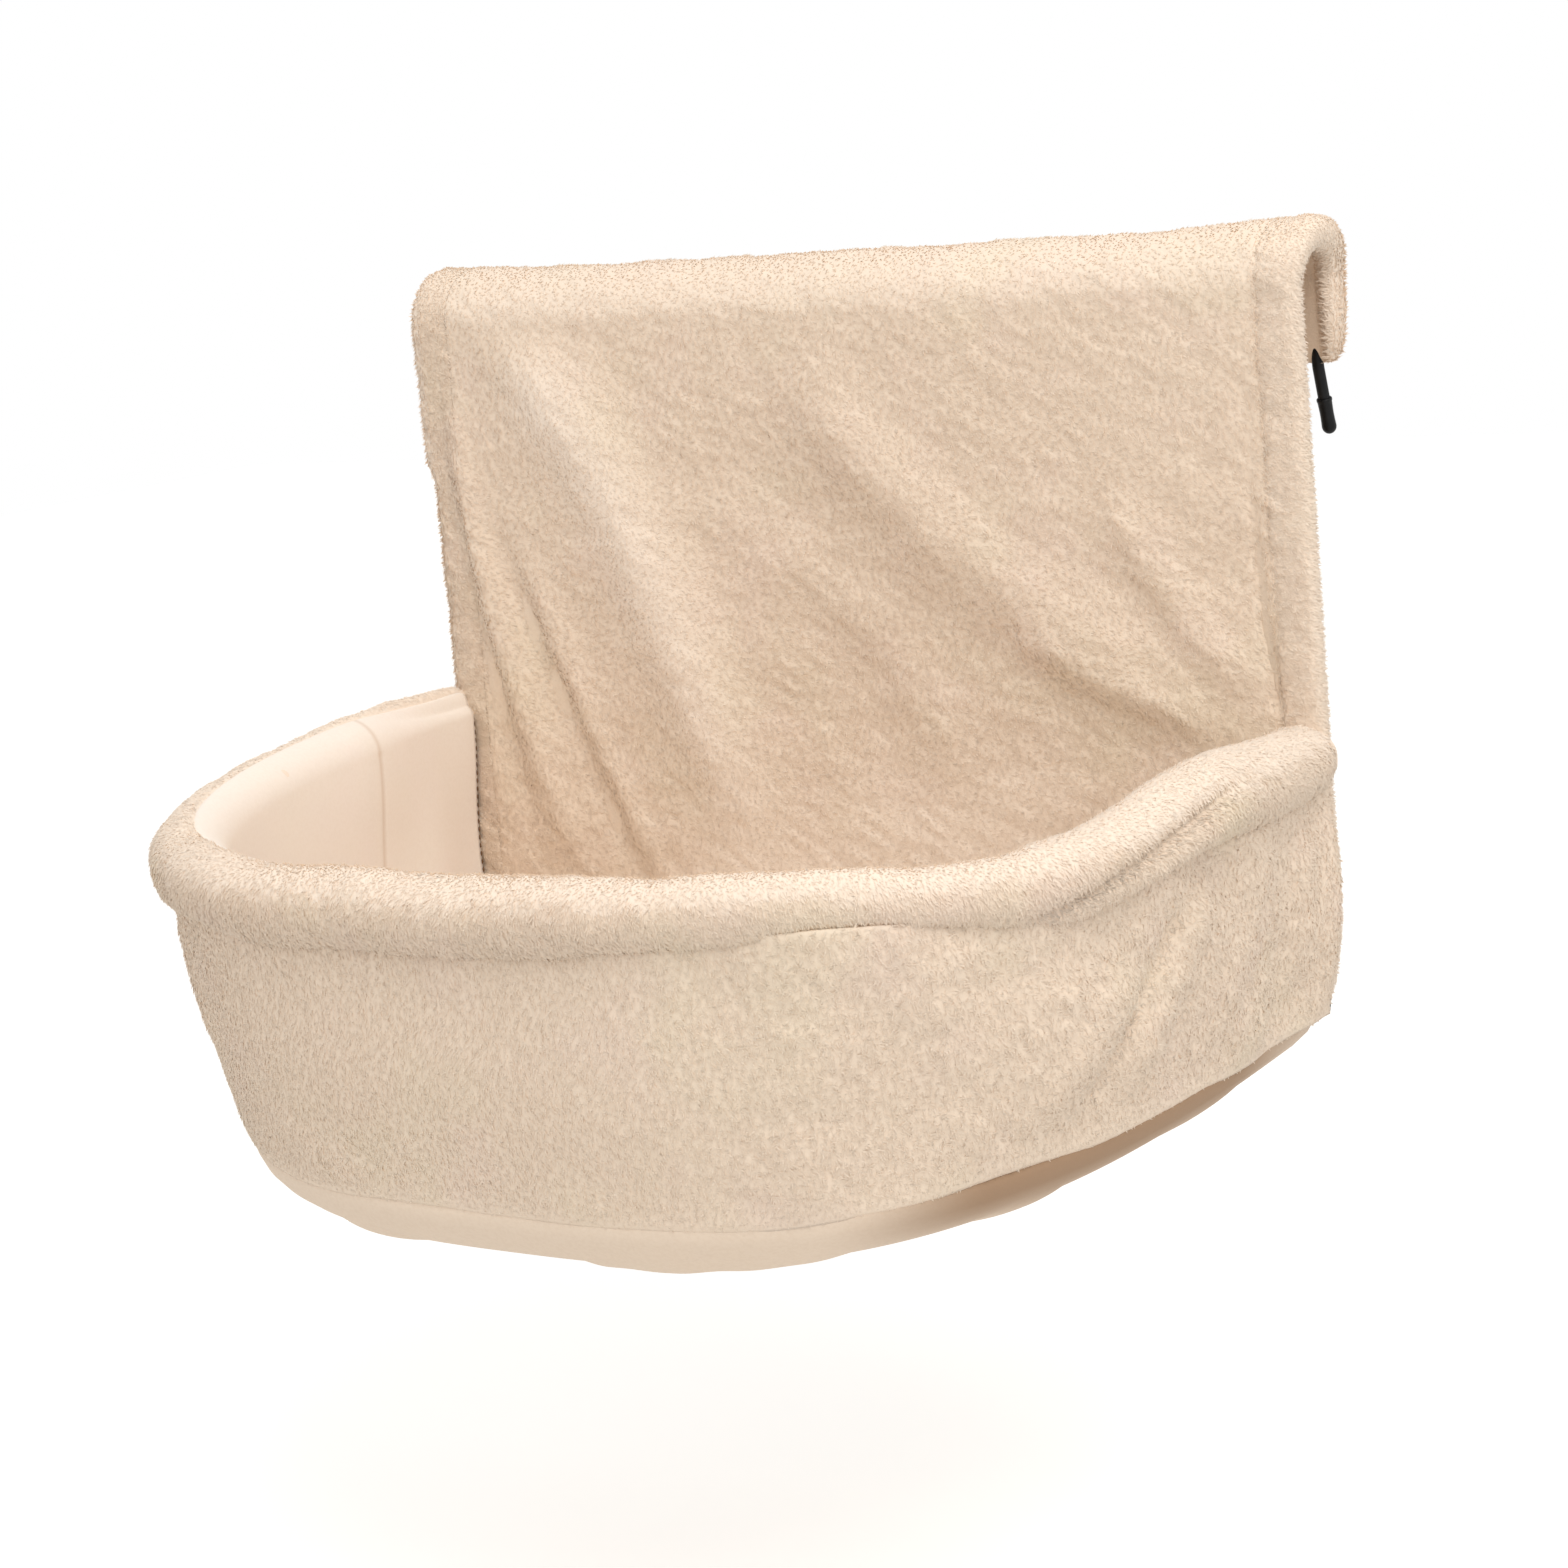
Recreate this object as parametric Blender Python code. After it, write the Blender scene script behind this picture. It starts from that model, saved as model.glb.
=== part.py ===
"""Radiator cat bed: a plush basket hung on a bent steel rod frame that hooks over a radiator.

X runs left to right, Y from the room towards the wall, Z up. The origin is the middle of the hook
seat, where the lining inside the bend rests on the top edge of the radiator.
"""

import math

import bmesh
import bpy
import numpy as np
from mathutils import Vector

# Clearances and cuts
FIT_GAP = 0.0003
OVERRUN = 0.004

# Cloth and filling
FLEECE = 0.003
LINING = 0.0012
PANEL_WADDING = 0.0072
WALL_WADDING = 0.004
BASE_CLOTH = 0.0012

# Hook and panel
GRIP = 0.030
PANEL_W = 0.460
FLAP_DROP = 0.051
HEM_POWER = 3.0
PANEL_FOLD = 0.009
SMALL_FOLD_W = 0.008
BROAD_FOLD_W = 0.022

# Steel frame, with the cloth that a hem keeps inside its leg and outside its socket
ROD_D = 0.005
LEG_MARGIN = 0.002
SOCKET_MARGIN = 0.0037
FOOT_RISE = 0.028
TOP_BAR_DROP = 0.032
SOCKET_WALL = 0.0007
PLUG_L = 0.050
SOCKET_SPARE = 0.004
SOCKET_FORWARD = 0.001
TAIL_BEND_R = 0.010
TAIL_BARE_L = 0.013
TAIL_FLARE = math.radians(15)

# Plastic caps on the two tails
CAP_D = 0.0066
CAP_L = 0.016
CAP_BORE_L = 0.012

# Rim
RIM_DEPTH = 0.294
RIM_LEVEL = 0.201
BASKET_H = 0.117
RIM_FALL = 0.018
RIM_R = 0.017
RIM_POWER = 3.4

# Basket wall and base
WALL_PROUD = 0.007
WALL_BULGE = 0.004
WALL_FOLD = 0.005
WALL_FOLD_W = 0.012
BASE_INSET = 0.011
BASE_REACH = 0.002
BASE_FALL = 0.017
BASE_POWER = 2.9
BASE_SAG = 0.033
FLOOR_CROWN = 0.008
PAD_EDGE_DROP = 0.0012
PAD_EDGE_T = 0.001

# Zip under the panel
ZIP_INSET = 0.040
TAPE_T = 0.0008
COIL_W = 0.002
COIL_T = 0.0014
STOP_L = 0.003
DIVIDER_T = 0.0008
SLIDER_L = 0.009
SLIDER_W = 0.008
SLIDER_PLATE_T = 0.001
BRIDGE_W = 0.0016
BRIDGE_T = 0.001
BRIDGE_CLEAR = 0.002
BRIDGE_L = 0.007
PULL_L = 0.021
PULL_W = 0.0065
PULL_T = 0.0012
PULL_BORDER = 0.001

# Counts, and the angle past which an edge is drawn sharp
SHARP_ANGLE = math.radians(50)
BEND_STEPS = 12
ROD_SIDES = 10
HOOP_SIDES = 8
ROLL_SIDES = 12
HEM_SIDES = 14
BOW_POINTS = 38
BACK_POINTS = 8
DENSE_POINTS = 2400
WALL_ROWS = 7
PANEL_COLUMNS = 25
PANEL_ROWS = 21
FLAP_COLUMNS = 5
TURN_STEPS = 12
TAIL_STEPS = 4
DOME_STEPS = 4

# Radii of the layers about the axis of the hook's bend
SEAT_R = GRIP / 2
LINING_R = SEAT_R + LINING
FILL_IN_R = LINING_R + FIT_GAP
ROD_R = ROD_D / 2
WIRE_R = FILL_IN_R + ROD_R
FILL_OUT_R = FILL_IN_R + PANEL_WADDING
PLUSH_IN_R = FILL_OUT_R + FIT_GAP
FACE_R = PLUSH_IN_R + FLEECE
BEND_Z = -SEAT_R

# Places that follow from the sizes above
PANEL_DROP = RIM_LEVEL + BASKET_H
HALF_W = PANEL_W / 2
SOCKET_BORE_R = ROD_R + FIT_GAP
SOCKET_R = SOCKET_BORE_R + SOCKET_WALL
HEM_W = LEG_MARGIN + ROD_D + FIT_GAP + 2 * SOCKET_R + SOCKET_MARGIN
FIELD_X = HALF_W - HEM_W - FIT_GAP
LEG_X = HALF_W - HEM_W + LEG_MARGIN + ROD_R
LEG_DROP = PANEL_DROP - FOOT_RISE
SOCKET_X = LEG_X + ROD_R + FIT_GAP + SOCKET_R
SOCKET_Y = -(WIRE_R + SOCKET_FORWARD)
HOOP_BEND_R = FACE_R + SOCKET_Y
FOLDED_X = SOCKET_X - RIM_R - FIT_GAP
BASKET_BACK = -FACE_R - FIT_GAP
BASE_W = PANEL_W - 2 * BASE_INSET
BASE_DEPTH = RIM_DEPTH + BASE_REACH
WALL_T = FLEECE + FIT_GAP + WALL_WADDING + FIT_GAP + LINING
ZIP_Y = -(SEAT_R + FACE_R) / 2
ZIP_L = PANEL_W - 2 * ZIP_INSET

# Folds of the hanging panel, as shares of its half width and drop: start, end, height, broadness
PANEL_FOLD_SHARES = (
    (-0.76, 0.06, -0.12, 0.81, 1.00, 1.00),
    (-0.86, 0.36, -0.62, 0.86, 0.60, 0.00),
    (-0.72, 0.42, -0.44, 0.86, 0.35, 0.00),
    (0.38, 0.35, 0.84, 0.61, 0.60, 0.40),
    (0.50, 0.50, 0.76, 0.66, 0.40, 0.10),
    (0.10, 0.30, 0.52, 0.66, 0.35, 0.70),
)
FOLD_START_SHARES = (0.0, 0.35)
FOLD_END_SHARES = (0.95, 1.25)
SIDE_FADE_SHARES = (0.87, 1.00)
TOP_FADE_SHARES = (0.05, 0.14)
LOW_FADE_SHARES = (0.86, 0.96)

# Rings of the base, as shares of its outline, and the share of the floor that its crown covers
RING_SHARES = (1.0, 0.94, 0.80, 0.58, 0.30)
CROWN_SHARE = 0.85
REAR_RISE_SHARES = (0.02, 0.30)

# Creases of the basket wall, as shares of its run and height: start, end, height
WALL_FOLD_SHARES = (
    (0.15, 0.08, 0.22, 0.92, 0.80),
    (0.08, 0.15, 0.12, 0.85, 0.60),
    (0.27, 0.05, 0.31, 0.60, 0.50),
    (0.70, 0.30, 0.66, 0.95, 0.40),
)
CREASE_START_SHARES = (-0.1, 0.3)
CREASE_END_SHARES = (0.7, 1.1)


def smooth(value, low, high):
    """0 below low, 1 above high, and an S-shaped rise between them."""
    share = np.clip((value - low) / (high - low), 0.0, 1.0)
    return share * share * (3.0 - 2.0 * share)


def finish(name, colour, roughness, metallic=0.0):
    """A plain surface of one colour."""
    material = bpy.data.materials.new(name)
    material.use_nodes = True
    shader = material.node_tree.nodes["Principled BSDF"]
    shader.inputs["Base Color"].default_value = (*colour, 1.0)
    shader.inputs["Roughness"].default_value = roughness
    shader.inputs["Metallic"].default_value = metallic
    return material


def add_piece(name, points, faces, material, origin=(0.0, 0.0, 0.0), parent=None):
    """One closed mesh object, its faces turned outward, with its origin at the given place."""
    mesh = bpy.data.meshes.new(name)
    shifted = np.asarray(points, float) - np.asarray(origin, float)
    mesh.from_pydata(shifted.tolist(), [], [list(face) for face in faces])
    build = bmesh.new()
    build.from_mesh(mesh)
    bmesh.ops.recalc_face_normals(build, faces=build.faces)
    build.to_mesh(mesh)
    build.free()
    mesh.shade_smooth()
    mesh.set_sharp_from_angle(angle=SHARP_ANGLE)
    piece = bpy.data.objects.new(name, mesh)
    bpy.context.scene.collection.objects.link(piece)
    piece.location = origin
    if parent is not None:
        piece.parent = parent
        piece.location = Vector(origin) - parent.location
    if material is None:
        piece.hide_render = True
        piece.display_type = "WIRE"
    else:
        mesh.materials.append(material)
    return piece


def cut(piece, *cutters):
    """Takes each cutter's solid out of the piece."""
    for cutter in cutters:
        modifier = piece.modifiers.new("cut_" + cutter.name, "BOOLEAN")
        modifier.operation = "DIFFERENCE"
        modifier.solver = "EXACT"
        modifier.object = cutter


def grid_faces(rows, columns, start=0, wrap=False):
    """Quads over a grid of points that are stored row by row."""
    faces = []
    for row in range(rows - 1):
        for column in range(columns if wrap else columns - 1):
            after = (column + 1) % columns
            a = start + row * columns + column
            b = start + row * columns + after
            faces.append((a, b, b + columns, a + columns))
    return faces


def border(rows, columns):
    """The places of a grid's outer points, in order round it."""
    top = list(range(columns))
    right = [row * columns + columns - 1 for row in range(1, rows)]
    low = [(rows - 1) * columns + column for column in range(columns - 2, -1, -1)]
    left = [row * columns for row in range(rows - 2, 0, -1)]
    return top + right + low + left


def slab(name, front, back, material, flat_back=False):
    """The solid between two grids of the same size; a flat back is left as a single face."""
    rows, columns = front.shape[:2]
    ring = border(rows, columns)
    faces = grid_faces(rows, columns)
    total = rows * columns
    if flat_back:
        points = np.concatenate([front.reshape(-1, 3), back.reshape(-1, 3)[ring]])
        far = [total + place for place in range(len(ring))]
        faces.append(tuple(far))
    else:
        points = np.concatenate([front.reshape(-1, 3), back.reshape(-1, 3)])
        far = [total + place for place in ring]
        faces += grid_faces(rows, columns, total)
    for place in range(len(ring)):
        after = (place + 1) % len(ring)
        faces.append((ring[place], ring[after], far[after], far[place]))
    return add_piece(name, points, faces, material)


def box(name, low, high, material):
    """A plain block between two corners."""
    ends = np.array([low, high])
    corners = [(x, y, z) for x in (0, 1) for y in (0, 1) for z in (0, 1)]
    points = [[ends[i][0], ends[j][1], ends[k][2]] for i, j, k in corners]
    faces = [(0, 1, 3, 2), (4, 6, 7, 5), (0, 4, 5, 1), (2, 3, 7, 6), (0, 2, 6, 4), (1, 5, 7, 3)]
    return add_piece(name, points, faces, material)


def extruded(name, outline, axis, low, high, material, origin=(0.0, 0.0, 0.0), parent=None):
    """A flat outline carried along X or Y; the outline gives the other two coordinates."""
    count = len(outline)
    points = []
    for place in (low, high):
        for a, z in outline:
            points.append((place, a, z) if axis == "X" else (a, place, z))
    faces = [tuple(range(count)), tuple(range(2 * count - 1, count - 1, -1))]
    for corner in range(count):
        after = (corner + 1) % count
        faces.append((corner, after, count + after, count + corner))
    return add_piece(name, points, faces, material, origin, parent)


def tangents(path):
    """Unit directions along a path, shared between the stretches that meet at each point."""
    steps = np.diff(path, axis=0)
    steps /= np.linalg.norm(steps, axis=1, keepdims=True)
    along = np.concatenate([steps[:1], steps[:-1] + steps[1:], steps[-1:]])
    return along / np.linalg.norm(along, axis=1, keepdims=True)


def rings_along(path, radius, sides, first_side):
    """Circles of points square to a path, turned along it without twisting."""
    along = tangents(path)
    side = np.asarray(first_side, float)
    turn = np.arange(sides) * 2.0 * math.pi / sides
    rings = []
    for place, forward in zip(path, along):
        side = side - forward * np.dot(side, forward)
        side /= np.linalg.norm(side)
        other = np.cross(forward, side)
        spokes = np.outer(np.cos(turn), side) + np.outer(np.sin(turn), other)
        rings.append(place + radius * spokes)
    return np.array(rings)


def rod(name, path, radius, sides, first_side, material):
    """A round bar along a path, with flat ends."""
    rings = rings_along(path, radius, sides, first_side)
    count = len(path)
    faces = grid_faces(count, sides, wrap=True)
    faces.append(tuple(range(sides)))
    faces.append(tuple(range(count * sides - 1, (count - 1) * sides - 1, -1)))
    return add_piece(name, rings.reshape(-1, 3), faces, material)


def pipe(name, path, radius, sides, bore_r, bore_sides, first_side, material):
    """A round tube along a path; the bore's flats lie at its radius, so that a rod clears them."""
    outer = rings_along(path, radius, sides, first_side)
    flats = bore_r / math.cos(math.pi / bore_sides)
    inner = rings_along(path, flats, bore_sides, first_side)
    count = len(path)
    points = np.concatenate([outer.reshape(-1, 3), inner.reshape(-1, 3)])
    faces = grid_faces(count, sides, wrap=True)
    faces += grid_faces(count, bore_sides, count * sides, wrap=True)
    for end in (0, count - 1):
        wide = [end * sides + place for place in range(sides)]
        narrow = [count * sides + end * bore_sides + place for place in range(bore_sides)]
        faces += ring_faces(points, wide, narrow)
    return add_piece(name, points, faces, material)


def ring_faces(points, wide, narrow):
    """Triangles across the flat ring between two circles that start at the same angle."""
    faces = []
    i = 0
    j = 0
    while i < len(wide) or j < len(narrow):
        a = wide[i % len(wide)]
        b = narrow[j % len(narrow)]
        if j * len(wide) >= (i + 1) * len(narrow) or j == len(narrow):
            faces.append((a, wide[(i + 1) % len(wide)], b))
            i += 1
        elif i * len(narrow) >= (j + 1) * len(wide) or i == len(wide):
            faces.append((a, narrow[(j + 1) % len(narrow)], b))
            j += 1
        elif (i + 1) * len(narrow) <= (j + 1) * len(wide):
            faces.append((a, wide[(i + 1) % len(wide)], b))
            i += 1
        else:
            faces.append((a, narrow[(j + 1) % len(narrow)], b))
            j += 1
    return faces


def turned(name, profile, base, axis, steps, material):
    """A profile of radius and height turned about an axis; a radius of zero closes into a point."""
    forward = np.asarray(axis, float)
    side = np.array([1.0, 0.0, 0.0])
    other = np.cross(forward, side)
    turn = np.arange(steps) * 2.0 * math.pi / steps
    points = []
    starts = []
    for radius, height in profile:
        starts.append(len(points))
        centre = np.asarray(base) + forward * height
        if radius == 0:
            points.append(centre)
            continue
        for angle in turn:
            points.append(centre + radius * (math.cos(angle) * side + math.sin(angle) * other))
    faces = []
    for level in range(len(profile) - 1):
        a = starts[level]
        b = starts[level + 1]
        for step in range(steps):
            after = (step + 1) % steps
            if profile[level][0] == 0:
                faces.append((a, b + step, b + after))
            elif profile[level + 1][0] == 0:
                faces.append((a + step, b, a + after))
            else:
                faces.append((a + step, b + step, b + after, a + after))
    return add_piece(name, points, faces, material)


def evenly(curve, count):
    """A dense curve's points, respaced to lie equally far apart."""
    steps = np.linalg.norm(np.diff(curve, axis=0), axis=1)
    run = np.concatenate([[0.0], np.cumsum(steps)])
    places = np.linspace(0.0, run[-1], count)
    return np.stack([np.interp(places, run, curve[:, k]) for k in range(curve.shape[1])], axis=1)


def bow(half_width, depth, power, back, count):
    """The basket's plan from its right rear end round the front to the left: a superellipse."""
    turn = np.linspace(0.0, math.pi, DENSE_POINTS)
    x = half_width * np.sign(np.cos(turn)) * np.abs(np.cos(turn)) ** (2.0 / power)
    y = back - depth * np.abs(np.sin(turn)) ** (2.0 / power)
    return evenly(np.stack([x, y], axis=1), count)


def rim_z(y):
    """Height of the rim's centre line: level at the panel, then falling a little to the front."""
    return -RIM_LEVEL - RIM_FALL * ((BASKET_BACK - y) / RIM_DEPTH) ** 2


def seam_z(y):
    """Height of the seam between wall and base, which falls in the same way."""
    return -PANEL_DROP - BASE_FALL * (BASKET_BACK - y) / BASE_DEPTH


def over_the_top(radius, front_low, rear_low):
    """Y and Z of a layer at each station: up the front, round the bend and down behind."""
    radius = np.asarray(radius, float)
    angles = np.linspace(0.0, math.pi, BEND_STEPS + 1)
    y = [-radius * math.cos(angle) for angle in angles]
    z = [BEND_Z + radius * math.sin(angle) for angle in angles]
    level = np.ones_like(radius)
    if front_low is not None:
        y.insert(0, -radius)
        z.insert(0, front_low * level)
    if rear_low is not None:
        y.append(radius)
        z.append(rear_low * level)
    return np.array(y), np.array(z)


def tail_path():
    """The hook rod's centre below the flap, where it flares away from the radiator."""
    angles = np.linspace(0.0, TAIL_FLARE, TAIL_STEPS)
    y = WIRE_R + TAIL_BEND_R * (1.0 - np.cos(angles))
    z = -FLAP_DROP - TAIL_BEND_R * np.sin(angles)
    run = TAIL_BARE_L + CAP_BORE_L - FIT_GAP
    y = np.append(y, y[-1] + run * math.sin(TAIL_FLARE))
    z = np.append(z, z[-1] - run * math.cos(TAIL_FLARE))
    return y, z


def hook_path(x, low):
    """Centre line of one hook rod, from the foot of its leg to the end of its tail."""
    y, z = over_the_top(WIRE_R, low, None)
    tail_y, tail_z = tail_path()
    y = np.concatenate([y, tail_y])
    z = np.concatenate([z, tail_z])
    return np.stack([np.full_like(y, x), y, z], axis=1)


def channel_path(x):
    """Centre line of the channel that a hem keeps for its rod, run past both ends."""
    y, z = over_the_top(WIRE_R, -PANEL_DROP - OVERRUN, -FLAP_DROP - OVERRUN)
    return np.stack([np.full_like(y, x), y, z], axis=1)


def rim_path():
    """Centre line of the rim, from the panel's face on the right round to the left."""
    plan = bow(SOCKET_X, RIM_DEPTH, RIM_POWER, BASKET_BACK, BOW_POINTS)
    return np.column_stack([plan, rim_z(plan[:, 1])])


def hoop_path():
    """Centre line of the basket hoop: up out of one socket, round the rim and down into the other."""
    angles = np.linspace(0.0, math.pi / 2, TAIL_STEPS)[:-1]
    bend_y = SOCKET_Y - HOOP_BEND_R * (1.0 - np.cos(angles))
    bend_z = -RIM_LEVEL - HOOP_BEND_R * (1.0 - np.sin(angles))
    bend = np.stack([np.full_like(bend_y, SOCKET_X), bend_y, bend_z], axis=1)
    foot = [[SOCKET_X, SOCKET_Y, -RIM_LEVEL - HOOP_BEND_R - PLUG_L]]
    right = np.concatenate([foot, bend])
    left = right[::-1] * np.array([-1.0, 1.0, 1.0])
    return np.concatenate([right, rim_path(), left])


def add_frame(steel, plastic):
    """The bent steel rods: two hooks, two bars between their legs, two sockets and the hoop."""
    wire_y = -WIRE_R
    bar_end = LEG_X - ROD_R - FIT_GAP
    across = (0.0, 0.0, 1.0)
    for name, drop in (("top_crossbar", TOP_BAR_DROP), ("lower_crossbar", LEG_DROP)):
        path = np.array([[-bar_end, wire_y, -drop], [bar_end, wire_y, -drop]])
        rod(name, path, ROD_R, ROD_SIDES, across, steel)
    rod("basket_hoop", hoop_path(), ROD_R, HOOP_SIDES, (1.0, 0.0, 0.0), steel)
    for side, sign in (("left", -1.0), ("right", 1.0)):
        path = hook_path(sign * LEG_X, -LEG_DROP - ROD_R)
        rod("hook_rod_" + side, path, ROD_R, ROD_SIDES, (1.0, 0.0, 0.0), steel)
        top = -RIM_LEVEL - HOOP_BEND_R - FIT_GAP
        low = top - PLUG_L - SOCKET_SPARE
        path = np.array([[sign * SOCKET_X, SOCKET_Y, low], [sign * SOCKET_X, SOCKET_Y, top]])
        name = "socket_tube_" + side
        pipe(name, path, SOCKET_R, TURN_STEPS, SOCKET_BORE_R, TURN_STEPS, (1.0, 0.0, 0.0), steel)
        add_tail_cap("tail_cap_" + side, sign * LEG_X, plastic)


def add_tail_cap(name, x, plastic):
    """A push-on end cap: a round sleeve with a domed tip, its blind bore over the rod's end."""
    tail_y, tail_z = tail_path()
    axis = np.array([0.0, math.sin(TAIL_FLARE), -math.cos(TAIL_FLARE)])
    rod_end = np.array([x, tail_y[-1], tail_z[-1]])
    mouth = rod_end - axis * (CAP_BORE_L - FIT_GAP)
    bore = ROD_R + FIT_GAP
    outer = CAP_D / 2
    shoulder = CAP_L - outer
    profile = [(0.0, CAP_BORE_L), (bore, CAP_BORE_L), (bore, 0.0), (outer, 0.0), (outer, shoulder)]
    for step in range(1, DOME_STEPS):
        angle = math.pi / 2 * step / DOME_STEPS
        profile.append((outer * math.cos(angle), shoulder + outer * math.sin(angle)))
    profile.append((0.0, CAP_L))
    turned(name, profile, mouth, axis, TURN_STEPS, plastic)


def ridge(across, down, start, end, width, start_shares, end_shares):
    """A fold's height, from 0 to 1: a soft ridge from start to end that fades over each of them."""
    line = np.subtract(end, start)
    length = np.linalg.norm(line)
    line = line / length
    along = ((across - start[0]) * line[0] + (down - start[1]) * line[1]) / length
    off = (across - start[0]) * line[1] - (down - start[1]) * line[0]
    ends = smooth(along, *start_shares) * (1.0 - smooth(along, *end_shares))
    return ends * np.exp(-((off / width) ** 2))


def fold_height(x, z):
    """How far the hanging panel's folds stand out towards the room."""
    down = -z / PANEL_DROP
    height = np.zeros_like(x)
    for start_x, start_z, end_x, end_z, tall, broad in PANEL_FOLD_SHARES:
        start = (start_x * HALF_W, -start_z * PANEL_DROP)
        end = (end_x * HALF_W, -end_z * PANEL_DROP)
        width = SMALL_FOLD_W + (BROAD_FOLD_W - SMALL_FOLD_W) * broad
        fold = ridge(x, z, start, end, width, FOLD_START_SHARES, FOLD_END_SHARES)
        height += PANEL_FOLD * tall * fold
    height *= 1.0 - smooth(np.abs(x) / FOLDED_X, *SIDE_FADE_SHARES)
    return height * smooth(down, *TOP_FADE_SHARES) * (1.0 - smooth(down, *LOW_FADE_SHARES))


def add_panel(plush, fill, lining, cutters):
    """The hanging panel: folded plush in front, wadding with the bars in it, flat lining behind."""
    across = np.linspace(-FOLDED_X, FOLDED_X, PANEL_COLUMNS)
    across = np.concatenate([[-FIELD_X], across, [FIELD_X]])
    x, z = np.meshgrid(across, np.linspace(-PANEL_DROP, BEND_Z - FIT_GAP, PANEL_ROWS))
    fold = fold_height(x, z)
    face = np.stack([x, -FACE_R - fold, z], axis=2)
    behind = np.stack([x, -PLUSH_IN_R - fold, z], axis=2)
    slab("panel_fleece", face, behind, plush)
    pad_low = -PANEL_DROP + ROD_D
    raised = np.maximum(z, pad_low)
    front = np.stack([x, -FILL_OUT_R - fold_height(x, raised), raised], axis=2)
    keep = np.concatenate([[True], raised[1:, 0] > pad_low + FIT_GAP])
    front = front[keep]
    back = front.copy()
    back[:, :, 1] = -FILL_IN_R
    wadding = slab("panel_wadding", front, back, fill, flat_back=True)
    cut(wadding, *cutters)
    low = (-FIELD_X, -LINING_R, -PANEL_DROP)
    high = (FIELD_X, -SEAT_R, BEND_Z - FIT_GAP)
    box("panel_lining", low, high, lining)


def add_flap(plush, fill, lining):
    """The top flap, which lines the bend between the hems and hangs behind the radiator's edge."""
    layers = (
        ("flap_fleece", PLUSH_IN_R, FACE_R, plush),
        ("flap_wadding", FILL_IN_R, FILL_OUT_R, fill),
        ("flap_lining", SEAT_R, LINING_R, lining),
    )
    x = np.linspace(-FIELD_X, FIELD_X, FLAP_COLUMNS)
    for name, inner, outer, material in layers:
        sides = []
        for radius in (outer, inner):
            y, z = over_the_top(radius, None, -FLAP_DROP)
            side_x, side_y = np.meshgrid(x, y)
            sides.append(np.stack([side_x, side_y, np.repeat(z[:, None], len(x), axis=1)], axis=2))
        slab(name, sides[0], sides[1], material)


def add_hem(side, sign, plush, cutters):
    """A flat sleeve of plush up one edge, over the hook and down behind, with a rod inside."""
    middle_x = HALF_W - HEM_W / 2
    middle_r = (SEAT_R + FACE_R) / 2
    half_t = (FACE_R - SEAT_R) / 2
    turn = np.arange(HEM_SIDES) * 2.0 * math.pi / HEM_SIDES
    cosine = np.cos(turn)
    sine = np.sin(turn)
    flatness = 2.0 / HEM_POWER
    x = sign * (middle_x + HEM_W / 2 * np.sign(cosine) * np.abs(cosine) ** flatness)
    radius = middle_r + half_t * np.sign(sine) * np.abs(sine) ** flatness
    y, z = over_the_top(radius, -PANEL_DROP, -FLAP_DROP)
    points = np.stack([np.broadcast_to(x, y.shape), y, z], axis=2)
    stations = len(points)
    faces = grid_faces(stations, HEM_SIDES, wrap=True)
    faces.append(tuple(range(HEM_SIDES)))
    faces.append(tuple(range(stations * HEM_SIDES - 1, (stations - 1) * HEM_SIDES - 1, -1)))
    hem = add_piece("hem_" + side, points.reshape(-1, 3), faces, plush)
    rod_cutter = rod(
        "channel_" + side, channel_path(sign * LEG_X), clear_radius(ROD_R, ROD_SIDES),
        ROD_SIDES, (1.0, 0.0, 0.0), None,
    )
    pocket_low = [sign * SOCKET_X, SOCKET_Y, -PANEL_DROP - OVERRUN]
    pocket_top = [sign * SOCKET_X, SOCKET_Y, -RIM_LEVEL - HOOP_BEND_R]
    pocket = rod(
        "pocket_" + side, np.array([pocket_low, pocket_top]), clear_radius(SOCKET_R, TURN_STEPS),
        TURN_STEPS, (1.0, 0.0, 0.0), None,
    )
    cut(hem, rod_cutter, pocket, *cutters)


def clear_radius(radius, sides):
    """Radius of a cutter whose flats stay a fit gap clear of a round piece."""
    return (radius + FIT_GAP) / math.cos(math.pi / sides)


def add_rim(plush, foam):
    """The soft rim: a foam tube on the hoop, inside a plush sleeve."""
    path = rim_path()
    foam_r = RIM_R - FLEECE - FIT_GAP
    up = (0.0, 0.0, 1.0)
    pipe("rim_padding", path, foam_r, ROLL_SIDES, SOCKET_BORE_R, HOOP_SIDES, up, foam)
    sleeve_r = foam_r + FIT_GAP
    flats = sleeve_r * math.cos(math.pi / ROLL_SIDES)
    pipe("rim_fleece", path, RIM_R, ROLL_SIDES, flats, ROLL_SIDES, up, plush)


def wall_creases(run, drop, length, tall):
    """How far the creases of the basket wall stand out of it."""
    height = np.zeros_like(run)
    for start_run, start_drop, end_run, end_drop, high in WALL_FOLD_SHARES:
        start = (start_run * length, start_drop * tall)
        end = (end_run * length, end_drop * tall)
        shares = (CREASE_START_SHARES, CREASE_END_SHARES)
        height += WALL_FOLD * high * ridge(run * length, drop * tall, start, end, WALL_FOLD_W, *shares)
    return height


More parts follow.
